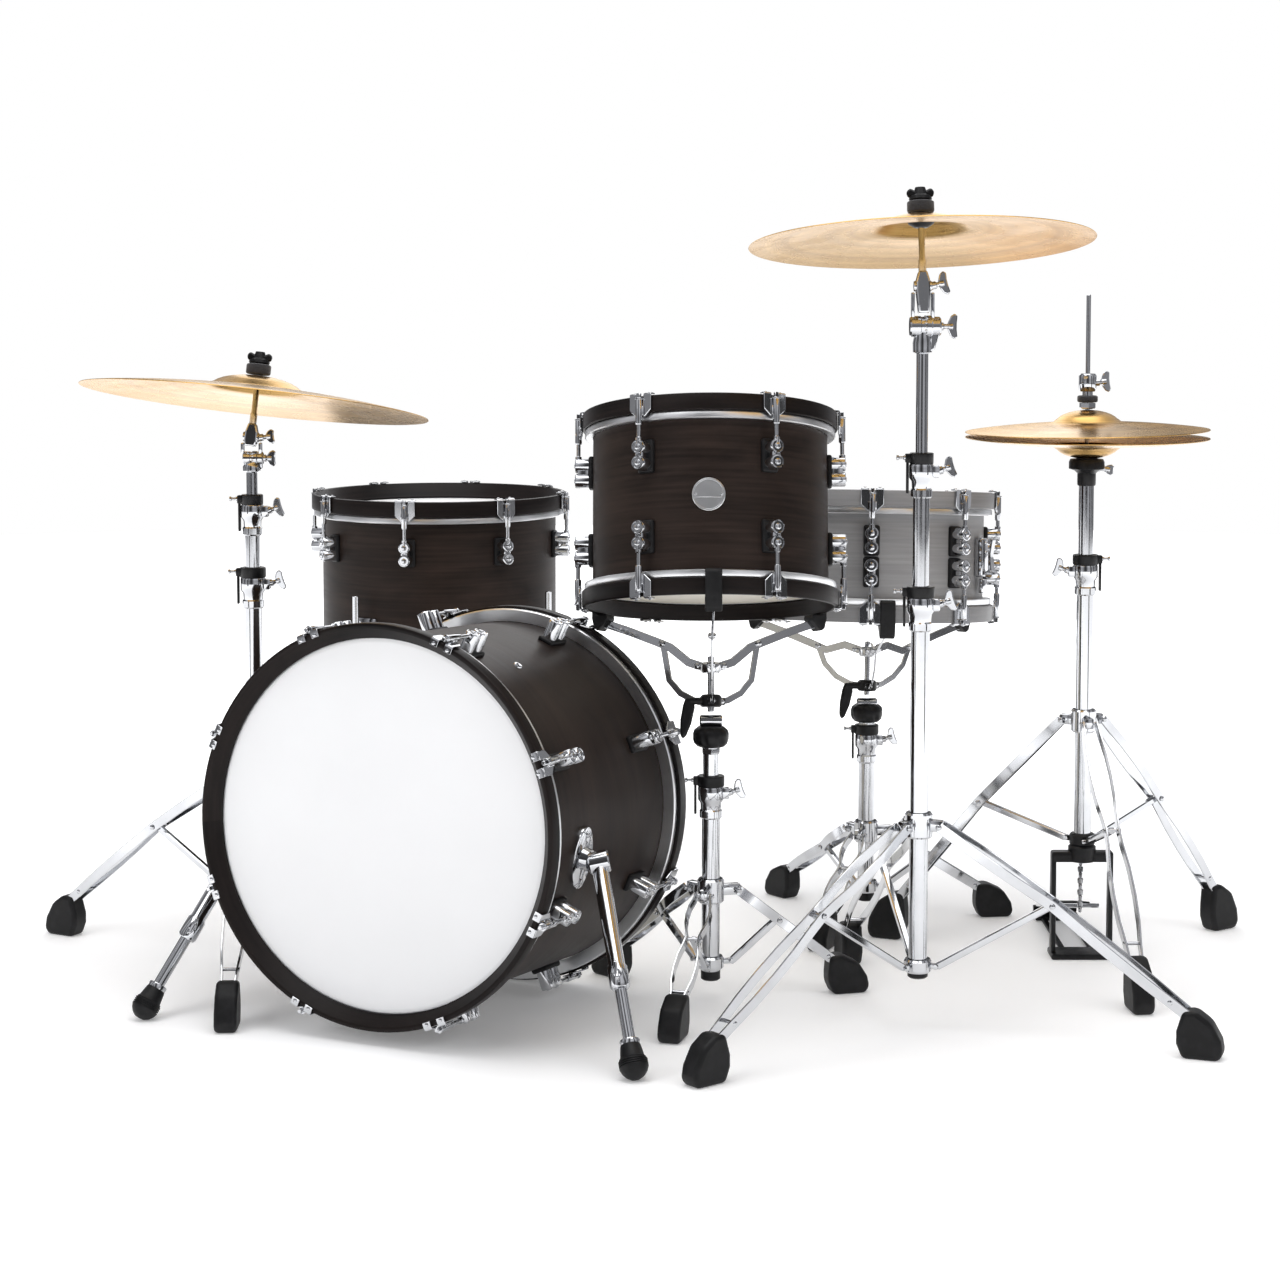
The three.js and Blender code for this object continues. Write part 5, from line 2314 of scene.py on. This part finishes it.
    def build(self) -> None:
        """Builds the room."""
        bpy.context.scene.view_settings.view_transform = "Standard"
        self.build_world()
        self.floor()
        self.lamp("top", at=(0.0, -0.4, 3.4), size=3.4, power=92)
        self.lamp("front_left", at=(-3.0, -2.8, 2.2), size=2.0, power=44, mirrored=False)
        self.lamp("front_right", at=(3.2, -2.4, 2.0), size=1.6, power=26, mirrored=False)
        self.lamp("rear", at=(0.0, 3.4, 2.6), size=2.6, power=40)
        self.card("card_left", at=(-2.1, -1.9, 0.9), size=(0.5, 2.2), grey=0.03)
        self.card("card_right", at=(2.2, -1.7, 0.9), size=(0.5, 2.2), grey=0.03)
        self.camera()
        log.info("studio")


def main() -> None:
    logging.basicConfig(level=logging.INFO, format="%(message)s")
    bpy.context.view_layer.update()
    bass = Drum(
        "bass", "kit_base", shell_r=248, shell_len=355, wall=9, lip=22, proud=24,
        ends=("rear", "front"), wood=WALNUT, hoop_wood=EBONY, films=(CLEAR_FILM, WHITE_FILM),
        first_lug=22.5, lugs=8, lug_inset=84,
    )
    floor_tom = Drum(
        "floor_tom",
        "kit_base",
        shell_r=200,
        shell_len=410,
        wall=8,
        lip=18,
        proud=29,
        ends=("bottom", "top"),
        wood=WALNUT,
        hoop_wood=EBONY,
        films=(CLEAR_FILM, COATED_FILM),
        first_lug=-55.6,
        lugs=8,
        lug_inset=86,
    )
    tom = Drum(
        "tom",
        "tom",
        shell_r=165,
        shell_len=222,
        wall=7,
        lip=15,
        proud=26,
        ends=("bottom", "top"),
        wood=WALNUT,
        hoop_wood=EBONY,
        films=(CLEAR_FILM, COATED_FILM),
        first_lug=-62.5,
        lugs=6,
        lug_inset=82,
    )
    snare = Drum(
        "snare",
        "snare",
        shell_r=178,
        shell_len=144,
        wall=7,
        lip=16,
        proud=28,
        ends=("bottom", "top"),
        wood=GREY_WOOD,
        hoop_wood=GREY_HOOP,
        films=(CLEAR_FILM, COATED_FILM),
        first_lug=-93.6,
        lugs=8,
        lug_inset=76,
    )
    for drum in (bass, floor_tom, tom, snare):
        drum.build()
    Badge(tom, turn=-92, height=tom.total / 2).build()
    Vent(bass, turn=58, height=250).build()
    Vent(floor_tom, turn=-78, height=floor_tom.total / 2).build()
    ThrowOff(snare).build()
    Spur("right", bass, turn=-8).build()
    Spur("left", bass, turn=188).build()
    for number in (1, 2, 3):
        FloorTomLeg(number, floor_tom).build()
    tripods = (
        Tripod(
            "crash", "crash_base_tube", collar=(30, 281), joint=(184, 186), low=(26, 90), end=(365, 54),
            foot=387, turn=220,
        ),
        Tripod(
            "ride", "ride_base_tube", collar=(30, 283), joint=(184, 186), low=(26, 90), end=(350, 54),
            foot=372, turn=151.8,
        ),
        Tripod(
            "hihat", "hihat_upper_tube", collar=(32, 357), joint=(158, 223), low=(24, 179),
            end=(284, 64), foot=311, turn=156.3, bracket=PLASTIC,
        ),
        Tripod(
            "tom_stand", "tom_stand_base_tube", collar=(38, 158), joint=(98, 111), low=(30, 56),
            end=(181, 47), foot=209, turn=254.5,
        ),
        Tripod(
            "snare_stand", "snare_stand_base_tube", collar=(38, 142), joint=(98, 100), low=(30, 54),
            end=(186, 45), foot=214, turn=127,
        ),
    )
    for tripod in tripods:
        tripod.build()
    CymbalStand(
        "crash",
        base_top=602,
        mid_top=780,
        hub=947,
        pivot=1000,
        pivot_to_rim=56,
        cymbal=Cymbal(radius=228.5, bow=20, bell=19),
        boom=True,
    ).build()
    CymbalStand(
        "ride",
        base_top=588,
        mid_top=695,
        hub=748,
        pivot=779,
        pivot_to_rim=50,
        cymbal=Cymbal(radius=254, bow=20, bell=19),
        boom=False,
        socket=20.5,
    ).build()
    BasketStand(
        "tom", tom, base_top=320, pivot=404, knob_below=44, pivot_to_hub=66, hub_to_drum=84
    ).build()
    BasketStand(
        "snare", snare, base_top=311, pivot=352, knob_below=37, pivot_to_hub=73, hub_to_drum=53,
        turn=3.9,
    ).build()
    HiHat().build()
    Studio().build()


if __name__ == "__main__":
    main()
